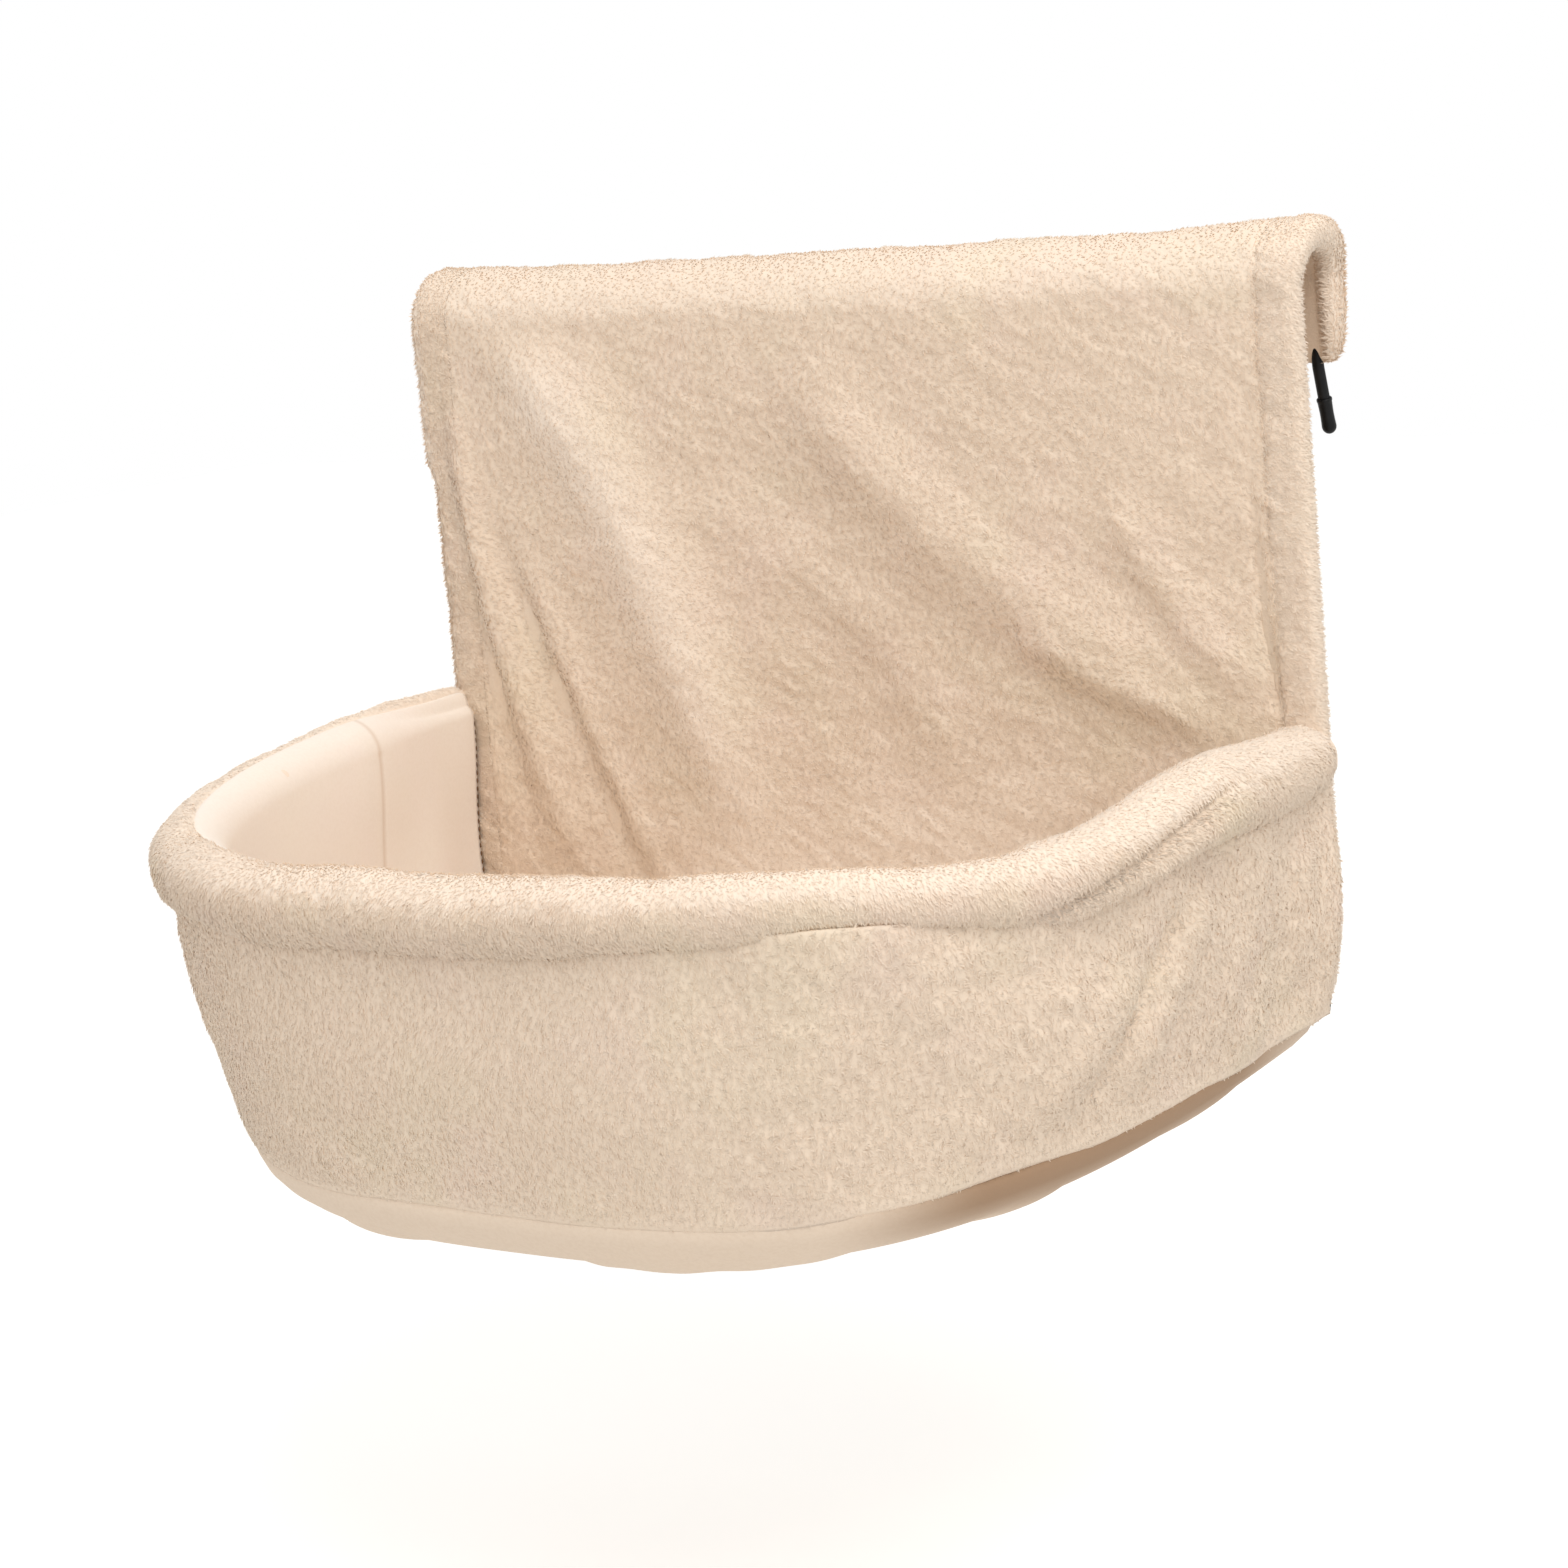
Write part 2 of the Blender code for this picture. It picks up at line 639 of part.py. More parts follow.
def wall_surface(inset, creased=False):
    """One face of the basket wall, this far inside its outer face, as a grid from rim to seam."""
    top = bow(SOCKET_X + WALL_PROUD, RIM_DEPTH + WALL_PROUD, RIM_POWER, BASKET_BACK, BOW_POINTS)
    low = bow(BASE_W / 2, BASE_DEPTH, BASE_POWER, BASKET_BACK, BOW_POINTS)
    top_z = rim_z(top[:, 1]) - RIM_R - FIT_GAP
    low_z = seam_z(low[:, 1])
    run = np.linspace(0.0, 1.0, BOW_POINTS)
    drop = np.linspace(0.0, 1.0, WALL_ROWS)
    length = np.linalg.norm(np.diff(top, axis=0), axis=1).sum()
    rows = []
    for share in drop:
        plan = top + (low - top) * share
        along = tangents(plan)
        along[0] = (0.0, -1.0)
        along[-1] = (0.0, 1.0)
        outward = np.stack([-along[:, 1], along[:, 0]], axis=1)
        stand = WALL_BULGE * math.sin(math.pi * share) - inset
        stand = np.full(BOW_POINTS, stand)
        if creased:
            stand += wall_creases(run, np.full(BOW_POINTS, share), length, BASKET_H)
        place = plan + outward * stand[:, None]
        rows.append(np.column_stack([place, top_z + (low_z - top_z) * share]))
    return np.array(rows)


def add_wall(plush, fill, lining):
    """The basket wall: creased plush outside, wadding, and a smooth lining inside."""
    fill_out = FLEECE + FIT_GAP
    fill_in = fill_out + WALL_WADDING
    lining_out = fill_in + FIT_GAP
    slab("wall_fleece", wall_surface(0.0, creased=True), wall_surface(FLEECE), plush)
    slab("wall_wadding", wall_surface(fill_out), wall_surface(fill_in), fill)
    slab("wall_lining", wall_surface(lining_out), wall_surface(WALL_T), lining)


def base_plan(inset, back_inset):
    """The base's closed outline, drawn in from the seam by an inset: the bow, then the back edge."""
    back = BASKET_BACK - back_inset
    depth = BASE_DEPTH - inset - back_inset
    front = bow(BASE_W / 2 - inset, depth, BASE_POWER, back, BOW_POINTS)
    x = np.linspace(front[-1, 0], front[0, 0], BACK_POINTS + 1)[1:-1]
    rear = np.column_stack([x, np.full_like(x, back)])
    return np.concatenate([front, rear])


def bowl_rings(inset, back_inset, height):
    """Rings of an outline shrunk towards its middle, with a height for each ring's points."""
    plan = base_plan(inset, back_inset)
    middle = np.array([0.0, BASKET_BACK - BASE_DEPTH / 2])
    rings = []
    for share in RING_SHARES:
        place = middle + (plan - middle) * share
        rings.append(np.column_stack([place, height(place, share)]))
    centre = np.array([[*middle, float(height(middle[None, :], 0.0)[0])]])
    return np.array(rings), centre


def dish(name, under, over, material):
    """The solid between two sets of rings that each close at a middle point."""
    count = under[0].shape[1]
    points = []
    faces = []
    for rings, centre in (under, over):
        start = len(points)
        points.extend(rings.reshape(-1, 3).tolist())
        points.extend(centre.tolist())
        faces += grid_faces(len(rings), count, start, wrap=True)
        last = start + (len(rings) - 1) * count
        for place in range(count):
            faces.append((last + place, last + (place + 1) % count, start + len(rings) * count))
    far = len(points) // 2
    for place in range(count):
        after = (place + 1) % count
        faces.append((place, after, far + after, far + place))
    return add_piece(name, points, faces, material)


def sag(share, depth):
    """How far the base hangs below its seam: steep at the edge and nearly flat in the middle."""
    return depth * math.sqrt(max(0.0, 1.0 - share**4))


def crown(place):
    """The rise of the padded floor towards its middle."""
    inset = WALL_T + FIT_GAP
    across = np.abs(place[:, 0]) / (BASE_W / 2 - inset)
    deep = np.clip((BASKET_BACK - place[:, 1]) / (BASE_DEPTH - inset), 0.0, 1.0)
    reach = across**BASE_POWER + deep**BASE_POWER
    rise = np.clip(1.0 - reach / CROWN_SHARE, 0.0, 1.0)
    return FLOOR_CROWN * rise * smooth(deep, *REAR_RISE_SHARES)


def add_base(cloth, fill, plush):
    """The base: a sagging cloth bowl, its padding, and the plush floor that lies on the padding."""
    def outside(place, share):
        return seam_z(place[:, 1]) - FIT_GAP - sag(share, BASE_SAG)

    def inside(place, share):
        return seam_z(place[:, 1]) - FIT_GAP - sag(share, BASE_SAG - BASE_CLOTH)

    def pad_under(place, share):
        return seam_z(place[:, 1]) - max(sag(share, BASE_SAG - BASE_CLOTH), PAD_EDGE_DROP + PAD_EDGE_T)

    def pad_over(place, share):
        return seam_z(place[:, 1]) - PAD_EDGE_DROP + crown(place)

    def floor_under(place, share):
        return pad_over(place, share) + FIT_GAP + FIT_GAP

    def floor_over(place, share):
        return floor_under(place, share) + FLEECE

    cloth_in = BASE_CLOTH
    pad_in = BASE_CLOTH + PAD_EDGE_DROP + PAD_EDGE_T + FIT_GAP
    floor_in = WALL_T + FIT_GAP
    dish("base_cloth", bowl_rings(0.0, 0.0, outside), bowl_rings(cloth_in, cloth_in, inside), cloth)
    dish("base_padding", bowl_rings(pad_in, pad_in, pad_under), bowl_rings(pad_in, pad_in, pad_over), fill)
    rear_in = BASE_CLOTH + FIT_GAP + FIT_GAP
    floor = (bowl_rings(floor_in, rear_in, floor_under), bowl_rings(floor_in, rear_in, floor_over))
    dish("floor_fleece", *floor, plush)


def add_zip(tape, coil, metal):
    """The zip along the panel's lower edge, where the frame goes in, with its slider and pull."""
    half_l = ZIP_L / 2
    split = DIVIDER_T / 2 + FIT_GAP
    tape_w = (FACE_R - SEAT_R) / 2 - split - FIT_GAP
    tape_top = -PANEL_DROP - FIT_GAP
    tape_low = tape_top - TAPE_T
    coil_top = tape_low - FIT_GAP
    coil_low = coil_top - COIL_T
    stop_reach = split + COIL_W
    for place, sign in (("front", -1.0), ("rear", 1.0)):
        inner = ZIP_Y + sign * split
        rows = (
            ("zip_tape_" + place, tape_w, tape_low, tape_top, half_l + STOP_L + FIT_GAP, tape),
            ("zip_coil_" + place, COIL_W, coil_low, coil_top, half_l, coil),
        )
        for name, width, low, top, reach, material in rows:
            edges = sorted((inner, inner + sign * width))
            box(name, (-reach, edges[0], low), (reach, edges[1], top), material)
    for place, sign in (("left", -1.0), ("right", 1.0)):
        ends = sorted((sign * (half_l + FIT_GAP), sign * (half_l + FIT_GAP + STOP_L)))
        low = (ends[0], ZIP_Y - stop_reach, coil_low)
        high = (ends[1], ZIP_Y + stop_reach, coil_top)
        box("zip_stop_" + place, low, high, metal)
    add_slider(half_l - SLIDER_L / 2, tape_top, coil_low, metal)


def add_slider(x, tape_top, coil_low, metal):
    """The slider, two plates joined by a thin divider, with a bridge that carries the pull."""
    upper_low = tape_top + FIT_GAP
    upper_top = upper_low + SLIDER_PLATE_T
    lower_top = coil_low - FIT_GAP
    lower_low = lower_top - SLIDER_PLATE_T
    upper_half = DIVIDER_T / 2 + COIL_W
    lower_half = SLIDER_W / 2
    thin = DIVIDER_T / 2
    right = [
        (thin, upper_low), (upper_half, upper_low), (upper_half, upper_top),
    ]
    left = [
        (-upper_half, upper_top), (-upper_half, upper_low), (-thin, upper_low),
        (-thin, lower_top), (-lower_half, lower_top), (-lower_half, lower_low),
        (lower_half, lower_low), (lower_half, lower_top), (thin, lower_top),
    ]
    outline = [(ZIP_Y + y, z) for y, z in right + left]
    origin = (x, ZIP_Y, lower_low)
    ends = (x - SLIDER_L / 2, x + SLIDER_L / 2)
    slider = extruded("zip_slider", outline, "X", ends[0], ends[1], metal, origin)
    bridge_low = lower_low - BRIDGE_CLEAR - BRIDGE_T
    half = BRIDGE_L / 2
    bury = SLIDER_PLATE_T / 2
    arch = [
        (-half, lower_low + bury), (-half, bridge_low), (half, bridge_low), (half, lower_low + bury),
        (half - BRIDGE_T, lower_low + bury), (half - BRIDGE_T, bridge_low + BRIDGE_T),
        (BRIDGE_T - half, bridge_low + BRIDGE_T), (BRIDGE_T - half, lower_low + bury),
    ]
    arch = [(x + along, z) for along, z in arch]
    width = (ZIP_Y - BRIDGE_W / 2, ZIP_Y + BRIDGE_W / 2)
    bridge = extruded("bridge_join", arch, "Y", width[0], width[1], None)
    join = slider.modifiers.new("bridge", "BOOLEAN")
    join.operation = "UNION"
    join.solver = "EXACT"
    join.object = bridge
    hinge = (x, ZIP_Y, lower_low - BRIDGE_CLEAR / 2)
    add_pull(hinge, slider, metal)


def add_pull(hinge, slider, metal):
    """A flat tab whose eye loops through the slider's bridge and hangs on it."""
    x, y, z = hinge
    top = z + PULL_BORDER / 2
    thin = PULL_T / 2
    half = PULL_W / 2
    chamfer = PULL_BORDER
    outline = [
        (y - half + chamfer, top), (y + half - chamfer, top), (y + half, top - chamfer),
        (y + half, top - PULL_L + chamfer), (y + half - chamfer, top - PULL_L),
        (y - half + chamfer, top - PULL_L), (y - half, top - PULL_L + chamfer), (y - half, top - chamfer),
    ]
    pull = extruded("zip_pull", outline, "X", x - thin, x + thin, metal, hinge, slider)
    eye_half = BRIDGE_W / 2 + FIT_GAP + FIT_GAP
    eye_top = top - PULL_BORDER
    eye_l = BRIDGE_L / 2 + FIT_GAP + FIT_GAP
    low = (x - thin - OVERRUN, y - eye_half, eye_top - eye_l)
    high = (x + thin + OVERRUN, y + eye_half, eye_top)
    cut(pull, box("pull_eye", low, high, None))


def frame_cutters():
    """Round cutters for the two bars and the hoop, a fit gap larger than the rods."""
    bar_r = clear_radius(ROD_R, ROD_SIDES)
    cutters = []
    for name, drop in (("top_bar_cut", TOP_BAR_DROP), ("lower_bar_cut", LEG_DROP)):
        path = np.array([[-LEG_X, -WIRE_R, -drop], [LEG_X, -WIRE_R, -drop]])
        cutters.append(rod(name, path, bar_r, ROD_SIDES, (0.0, 0.0, 1.0), None))
    hoop = rod("hoop_cut", hoop_path(), clear_radius(ROD_R, HOOP_SIDES), HOOP_SIDES, (1.0, 0.0, 0.0), None)
    return cutters, hoop


def main():
    for old in list(bpy.data.objects):
        bpy.data.objects.remove(old, do_unlink=True)
    plush = finish("cream_plush", (0.80, 0.66, 0.53), 0.95)
    suede = finish("pale_lining", (0.86, 0.76, 0.66), 0.85)
    cloth = finish("base_cloth", (0.78, 0.65, 0.54), 0.88)
    fill = finish("white_wadding", (0.90, 0.90, 0.88), 1.0)
    foam = finish("rim_foam", (0.85, 0.83, 0.72), 0.95)
    steel = finish("black_steel", (0.02, 0.02, 0.02), 0.45, 0.3)
    plastic = finish("black_plastic", (0.015, 0.015, 0.015), 0.4)
    tape = finish("zip_tape", (0.76, 0.66, 0.55), 0.9)
    coil = finish("zip_coil", (0.82, 0.74, 0.64), 0.5)
    metal = finish("zip_metal", (0.62, 0.60, 0.57), 0.35, 1.0)
    bars, hoop = frame_cutters()
    add_frame(steel, plastic)
    add_panel(plush, fill, suede, bars)
    add_flap(plush, fill, suede)
    for side, sign in (("left", -1.0), ("right", 1.0)):
        add_hem(side, sign, plush, [*bars, hoop])
    add_rim(plush, foam)
    add_wall(plush, fill, suede)
    add_base(cloth, fill, plush)
    add_zip(tape, coil, metal)


main()
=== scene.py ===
"""Radiator cat bed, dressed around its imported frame.

A plush basket hangs on a bent steel rod frame whose padded top hooks over a radiator. Lengths are metres,
X runs left to right, Y from the room towards the wall, Z up, and the origin is the middle of the hook seat.
"""
import math
from itertools import product

import bpy
import numpy as np
from mathutils import Matrix, Vector


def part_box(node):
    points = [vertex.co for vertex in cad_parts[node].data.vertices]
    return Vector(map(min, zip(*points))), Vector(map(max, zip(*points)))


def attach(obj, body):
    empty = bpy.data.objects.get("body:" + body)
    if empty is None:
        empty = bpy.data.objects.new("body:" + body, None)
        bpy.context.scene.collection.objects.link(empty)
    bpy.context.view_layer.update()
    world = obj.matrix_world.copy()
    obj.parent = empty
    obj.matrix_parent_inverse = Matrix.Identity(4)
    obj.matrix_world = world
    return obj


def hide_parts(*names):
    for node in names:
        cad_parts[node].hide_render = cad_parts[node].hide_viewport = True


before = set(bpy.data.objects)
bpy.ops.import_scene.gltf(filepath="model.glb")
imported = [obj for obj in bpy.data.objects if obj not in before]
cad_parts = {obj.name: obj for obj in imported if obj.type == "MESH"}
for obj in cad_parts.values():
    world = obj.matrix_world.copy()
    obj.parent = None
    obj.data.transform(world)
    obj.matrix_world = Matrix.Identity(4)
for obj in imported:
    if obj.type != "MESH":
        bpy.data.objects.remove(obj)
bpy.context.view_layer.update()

# Camera. A long lens from the bed's right, a little above it, with the slight roll that the leaning panel
# shows. The picture is a square.
VIEW_TARGET = (0.028, -0.127, -0.206)
VIEW_DISTANCE = 1.550
VIEW_TURN = math.radians(34.6)
VIEW_RISE = math.radians(10.8)
VIEW_ROLL = math.radians(-5.26)
LENS_MM = 84.375

back = Vector((
    math.sin(VIEW_TURN) * math.cos(VIEW_RISE),
    -math.cos(VIEW_TURN) * math.cos(VIEW_RISE),
    math.sin(VIEW_RISE),
))
right = Vector((math.cos(VIEW_TURN), math.sin(VIEW_TURN), 0.0))
up = back.cross(right)
turned_right = math.cos(VIEW_ROLL) * right + math.sin(VIEW_ROLL) * up
turned_up = -math.sin(VIEW_ROLL) * right + math.cos(VIEW_ROLL) * up
camera = bpy.data.objects.new("camera", bpy.data.cameras.new("camera"))
camera.data.lens = LENS_MM
camera.data.sensor_width = 36.0
camera.matrix_world = Matrix.Translation(Vector(VIEW_TARGET) + back * VIEW_DISTANCE) @ Matrix(
    (turned_right, turned_up, back)
).transposed().to_4x4()
bpy.context.scene.collection.objects.link(camera)
bpy.context.scene.camera = camera
bpy.context.scene.view_settings.view_transform = "Standard"

# Studio. A white room, one broad lamp high in front of the bed and to its right that models the folds, and a
# pale floor below, which shows as white wherever no shadow falls on it.
ROOM_LIGHT = 0.80
KEY_WATTS = 28.0
KEY_SIZE = 1.5
KEY_PLACE = (1.25, -1.02, 1.72)
FLOOR_LEVEL = -0.56
FLOOR_HALF = 4.0
FLOOR_COLOUR = (0.80, 0.80, 0.79)
FLOOR_GLOW = 0.40


def combined(tree, how, first, second):
    """Two values brought together by one operation. The first is a socket, the second a socket or a number."""
    node = tree.nodes.new("ShaderNodeMath")
    node.operation = how
    tree.links.new(first, node.inputs[0])
    if isinstance(second, float):
        node.inputs[1].default_value = second
    else:
        tree.links.new(second, node.inputs[1])
    return node.outputs[0]


def seen_directly(tree):
    """A value that is 1 for camera, mirror and glass rays and 0 for light that bounces softly."""
    path = tree.nodes.new("ShaderNodeLightPath").outputs
    either = combined(tree, "MAXIMUM", path["Is Camera Ray"], path["Is Glossy Ray"])
    return combined(tree, "MAXIMUM", either, path["Is Transmission Ray"])


def new_material(name):
    """A new material, its tree of nodes and the shader in it."""
    material = bpy.data.materials.new(name)
    material.use_nodes = True
    return material, material.node_tree, material.node_tree.nodes["Principled BSDF"]


world = bpy.data.worlds.new("white_room")
world.use_nodes = True
bpy.context.scene.world = world
tree = world.node_tree
tree.nodes.clear()
soft = tree.nodes.new("ShaderNodeBackground")
soft.inputs["Color"].default_value = (1.0, 0.985, 0.965, 1.0)
soft.inputs["Strength"].default_value = ROOM_LIGHT
plain = tree.nodes.new("ShaderNodeBackground")
plain.inputs["Color"].default_value = (1.0, 1.0, 1.0, 1.0)
plain.inputs["Strength"].default_value = 1.0
choose = tree.nodes.new("ShaderNodeMixShader")
tree.links.new(seen_directly(tree), choose.inputs["Fac"])
tree.links.new(soft.outputs[0], choose.inputs[1])
tree.links.new(plain.outputs[0], choose.inputs[2])
tree.links.new(choose.outputs[0], tree.nodes.new("ShaderNodeOutputWorld").inputs["Surface"])

key = bpy.data.objects.new("key_lamp", bpy.data.lights.new("key_lamp", "AREA"))
key.data.energy = KEY_WATTS
key.data.size = KEY_SIZE
key.data.color = (1.0, 0.975, 0.94)
key.location = KEY_PLACE
key.rotation_euler = (Vector(VIEW_TARGET) - key.location).to_track_quat("-Z", "Y").to_euler()
bpy.context.scene.collection.objects.link(key)

floor_mesh = bpy.data.meshes.new("floor")
floor_mesh.from_pydata(
    [(x * FLOOR_HALF, y * FLOOR_HALF, FLOOR_LEVEL) for x, y in ((-1, -1), (1, -1), (1, 1), (-1, 1))],
    [], [(0, 1, 2, 3)],
)
floor = bpy.data.objects.new("floor", floor_mesh)
bpy.context.scene.collection.objects.link(floor)
paint, tree, shader = new_material("floor_white")
shader.inputs["Base Color"].default_value = (*FLOOR_COLOUR, 1.0)
shader.inputs["Roughness"].default_value = 0.9
glow = tree.nodes.new("ShaderNodeEmission")
glow.inputs["Strength"].default_value = FLOOR_GLOW
both = tree.nodes.new("ShaderNodeAddShader")
tree.links.new(shader.outputs[0], both.inputs[0])
tree.links.new(glow.outputs[0], both.inputs[1])
choose = tree.nodes.new("ShaderNodeMixShader")
tree.links.new(seen_directly(tree), choose.inputs["Fac"])
tree.links.new(shader.outputs[0], choose.inputs[1])
tree.links.new(both.outputs[0], choose.inputs[2])
tree.links.new(choose.outputs[0], tree.nodes["Material Output"].inputs["Surface"])
floor_mesh.materials.append(paint)

# Panel plush. One length of short cream pile runs up the front, over the hook and down behind the radiator's
# edge. It is quilted to the frame only along its hems, so the basket's weight drags long soft folds from the
# left hook down to the middle and short ones into the right rim.
panel_low, panel_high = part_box("panel_fleece")
flap_low, flap_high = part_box("flap_fleece")
seat_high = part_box("panel_lining")[1]
hem_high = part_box("hem_right")[1]
FIELD_X = panel_high.x
HALF_W = hem_high.x
PANEL_FOOT = panel_low.z
FLAP_FOOT = flap_low.z
FACE_R = flap_high.y
SEAT_R = -seat_high.y
BEND_Z = -SEAT_R
FRONT_RUN = BEND_Z - PANEL_FOOT
BEND_RUN = math.pi * FACE_R
HOOK_RUN = FRONT_RUN + BEND_RUN + BEND_Z - FLAP_FOOT
PLUSH_T = 0.003
PILE_ROOM = 0.0012
PRESSED = 0.6
SEAM_DIP = 0.0004
SEAM_W = 0.0022
SEAM_GROOVE = 0.0019
SEAM_GROOVE_W = 0.0024
SEAM_LINE = ((-0.330, 0.2125), (-0.200, 0.2112), (-0.146, 0.2057), (-0.094, 0.2039), (0.0, 0.2080))
BEND_SAG = 0.0028
PANEL_COMB = math.radians(-34)
CLUMP_RISE = 0.00052
CLUMP_L = 0.0085
CLUMP_W = 0.0040
SWELL_RISE = 0.0007
SWELL = 0.021
# Each fold: start, bend and end as shares of the panel's half width and drop, its height and its half width
PANEL_FOLDS = (
    ((-0.86, 0.02), (-0.53, 0.30), (-0.22, 0.92), 0.0092, 0.022),
    ((-0.95, 0.10), (-0.86, 0.50), (-0.66, 0.93), 0.0042, 0.0090),
    ((-0.965, 0.12), (-0.93, 0.40), (-0.80, 0.90), -0.0036, 0.0070),
    ((-0.86, 0.30), (-0.74, 0.57), (-0.52, 0.92), -0.0032, 0.0068),
    ((-0.78, 0.36), (-0.66, 0.60), (-0.46, 0.93), 0.0026, 0.0070),
    ((-0.24, 0.18), (-0.02, 0.46), (0.16, 0.80), -0.0030, 0.024),
    ((-0.10, 0.10), (0.26, 0.38), (0.86, 0.62), 0.0056, 0.017),
    ((0.36, 0.48), (0.56, 0.56), (0.86, 0.64), 0.0034, 0.0085),
    ((0.56, 0.30), (0.72, 0.45), (0.88, 0.60), 0.0032, 0.0100),
    ((-0.20, 0.34), (0.04, 0.50), (0.30, 0.74), 0.0026, 0.014),
)
FOLD_SAMPLES = 24
# Painted highlights: the widest fold's crown and a patch low in the middle are painted pale, as is the bend's
# top
PAINTED_HIGHLIGHT_PLACES = (
    ((-0.82, 0.10), (-0.510, 0.36), (-0.20, 1.00), 1.00, 0.020),
    ((-0.62, 1.02), (0.04, 0.86), (0.60, 0.84), 0.90, 0.044),
)
BEND_PAINTED_HIGHLIGHT = 0.45
PANEL_ACROSS = 266
PANEL_BEHIND = 34
PANEL_ALONG = 300


def smooth(value, low, high):
    """0 below low, 1 above high, and an S-shaped rise between them."""
    share = np.clip((value - low) / (high - low), 0.0, 1.0)
    return share * share * (3.0 - 2.0 * share)


def cloud(places, sizes, seed):
    """Smooth random heights from -1 to 1: one value at each corner of a lattice, eased from cell to cell."""
    lattice = np.asarray(places, float) / sizes
    cell = np.floor(lattice).astype(np.int64)
    part = lattice - cell
    part = part**3 * (part * (6.0 * part - 15.0) + 10.0)
    total = np.zeros(lattice.shape[:-1])
    mixers = np.array([73856093, 19349663, 83492791])[: lattice.shape[-1]]
    for corner in product((0, 1), repeat=lattice.shape[-1]):
        mixed = ((cell + corner) @ mixers + seed * 9176263) & 0xFFFFFFFF
        mixed = ((mixed ^ (mixed >> 15)) * 2246822519) & 0xFFFFFFFF
        mixed = ((mixed ^ (mixed >> 13)) * 3266489917) & 0xFFFFFFFF
        height = ((mixed ^ (mixed >> 16)) & 0xFFFF) / 32767.5 - 1.0
        total += height * np.prod(np.where(corner, part, 1.0 - part), axis=-1)
    return total


def clumps(across, down, comb, seed):
    """The pile's own relief: long low clumps that lie along the comb, on wider, gentler swells."""
    across, down = np.broadcast_arrays(across, down)
    along = across * np.cos(comb) + down * np.sin(comb)
    aside = down * np.cos(comb) - across * np.sin(comb)
    fine = cloud(np.stack([along, aside], axis=-1), (CLUMP_L, CLUMP_W), seed)
    wide = cloud(np.stack([across, down], axis=-1), SWELL, seed + 1)
    return CLUMP_RISE * fine + SWELL_RISE * wide


def folds(across, down, curves, wide, tall):
    """Soft ridges: each is a bell-shaped rise about a curve through three points, fading at both ends."""
    across, down = np.broadcast_arrays(across, down)
    height = np.zeros(across.shape)
    share = np.linspace(0.0, 1.0, FOLD_SAMPLES)
    for start, bend, end, rise, width in curves:
        start, bend, end = (np.array(p) * (wide, tall) for p in (start, bend, end))
        middle = 2.0 * bend - (start + end) / 2.0
        line = (
            np.outer((1 - share) ** 2, start) + np.outer(2 * share * (1 - share), middle)
            + np.outer(share**2, end)
        )
        nearest = np.full(across.shape, np.inf)
        place = np.zeros(across.shape)
        for step in range(FOLD_SAMPLES - 1):
            leg = line[step + 1] - line[step]
            along = ((across - line[step, 0]) * leg[0] + (down - line[step, 1]) * leg[1]) / (leg @ leg)
            held = np.clip(along, 0.0, 1.0)
            off = (across - line[step, 0] - held * leg[0]) ** 2 + (down - line[step, 1] - held * leg[1]) ** 2
            closer = off < nearest
            nearest = np.where(closer, off, nearest)
            place = np.where(closer, (step + held) / (FOLD_SAMPLES - 1), place)
        ends = smooth(place, 0.0, 0.25) * (1.0 - 0.9 * smooth(place, 0.75, 1.0))
        height += rise * ends * np.exp(-nearest / width**2)
    return height


def panel_relief(x, z):
    """How far the hanging plush stands out of its flat place, faded at the top, the foot and the hems."""
    height = folds(x, -z, PANEL_FOLDS, HALF_W, -PANEL_FOOT)
    height *= smooth(-z / -PANEL_FOOT, 0.02, 0.16) * (1.0 - smooth(-z / -PANEL_FOOT, 0.90, 0.99))
    seam = np.interp(z, *zip(*SEAM_LINE))
    groove = SEAM_GROOVE * smooth(-z, 0.070, 0.120) * np.exp(-(((x - seam) / SEAM_GROOVE_W) ** 2))
    return height * (1.0 - 0.85 * smooth(np.abs(x), FIELD_X - 0.006, HALF_W)) - groove


def bend_sag(x):
    """How far the top edge sinks between the two hooks, which hold it up at both ends."""
    return BEND_SAG * (1.0 - smooth(np.abs(x), FIELD_X - 0.045, FIELD_X + 0.004))


def bend_angle(run):
    """How far round the hook's bend a station lies, from 0 in front to half a turn behind."""
    return np.clip((run - FRONT_RUN) / FACE_R, 0.0, math.pi)


def over_hook(x, run, radius):
    """Points of a layer at this radius: up the front, half way round the bend, then down behind."""
    angle = bend_angle(run)
    z = BEND_Z + radius * np.sin(angle)
    z = z + np.minimum(run - FRONT_RUN, 0.0) - np.maximum(run - FRONT_RUN - BEND_RUN, 0.0)
    return np.stack(np.broadcast_arrays(x, -radius * np.cos(angle), z), axis=-1)


def panel_face(x, run):
    """The plush's outer surface where its pile is rooted."""
    z = PANEL_FOOT + np.minimum(run, FRONT_RUN)
    edge = smooth(np.abs(x), FIELD_X - SEAM_W, FIELD_X)
    radius = FACE_R - PILE_ROOM - SEAM_DIP * edge
    radius = radius + panel_relief(x, z) + clumps(x, run, PANEL_COMB, 3) * (1.0 - 0.4 * edge)
    return over_hook(x, run, radius - bend_sag(x) * np.sin(bend_angle(run)))


def panel_back(x, run):
    """The plush's inner surface, pressed flatter by the wadding behind it."""
    z = PANEL_FOOT + np.minimum(run, FRONT_RUN)
    radius = FACE_R - PLUSH_T + PRESSED * panel_relief(x, z)
    return over_hook(x, run, radius - bend_sag(x) * np.sin(bend_angle(run)))


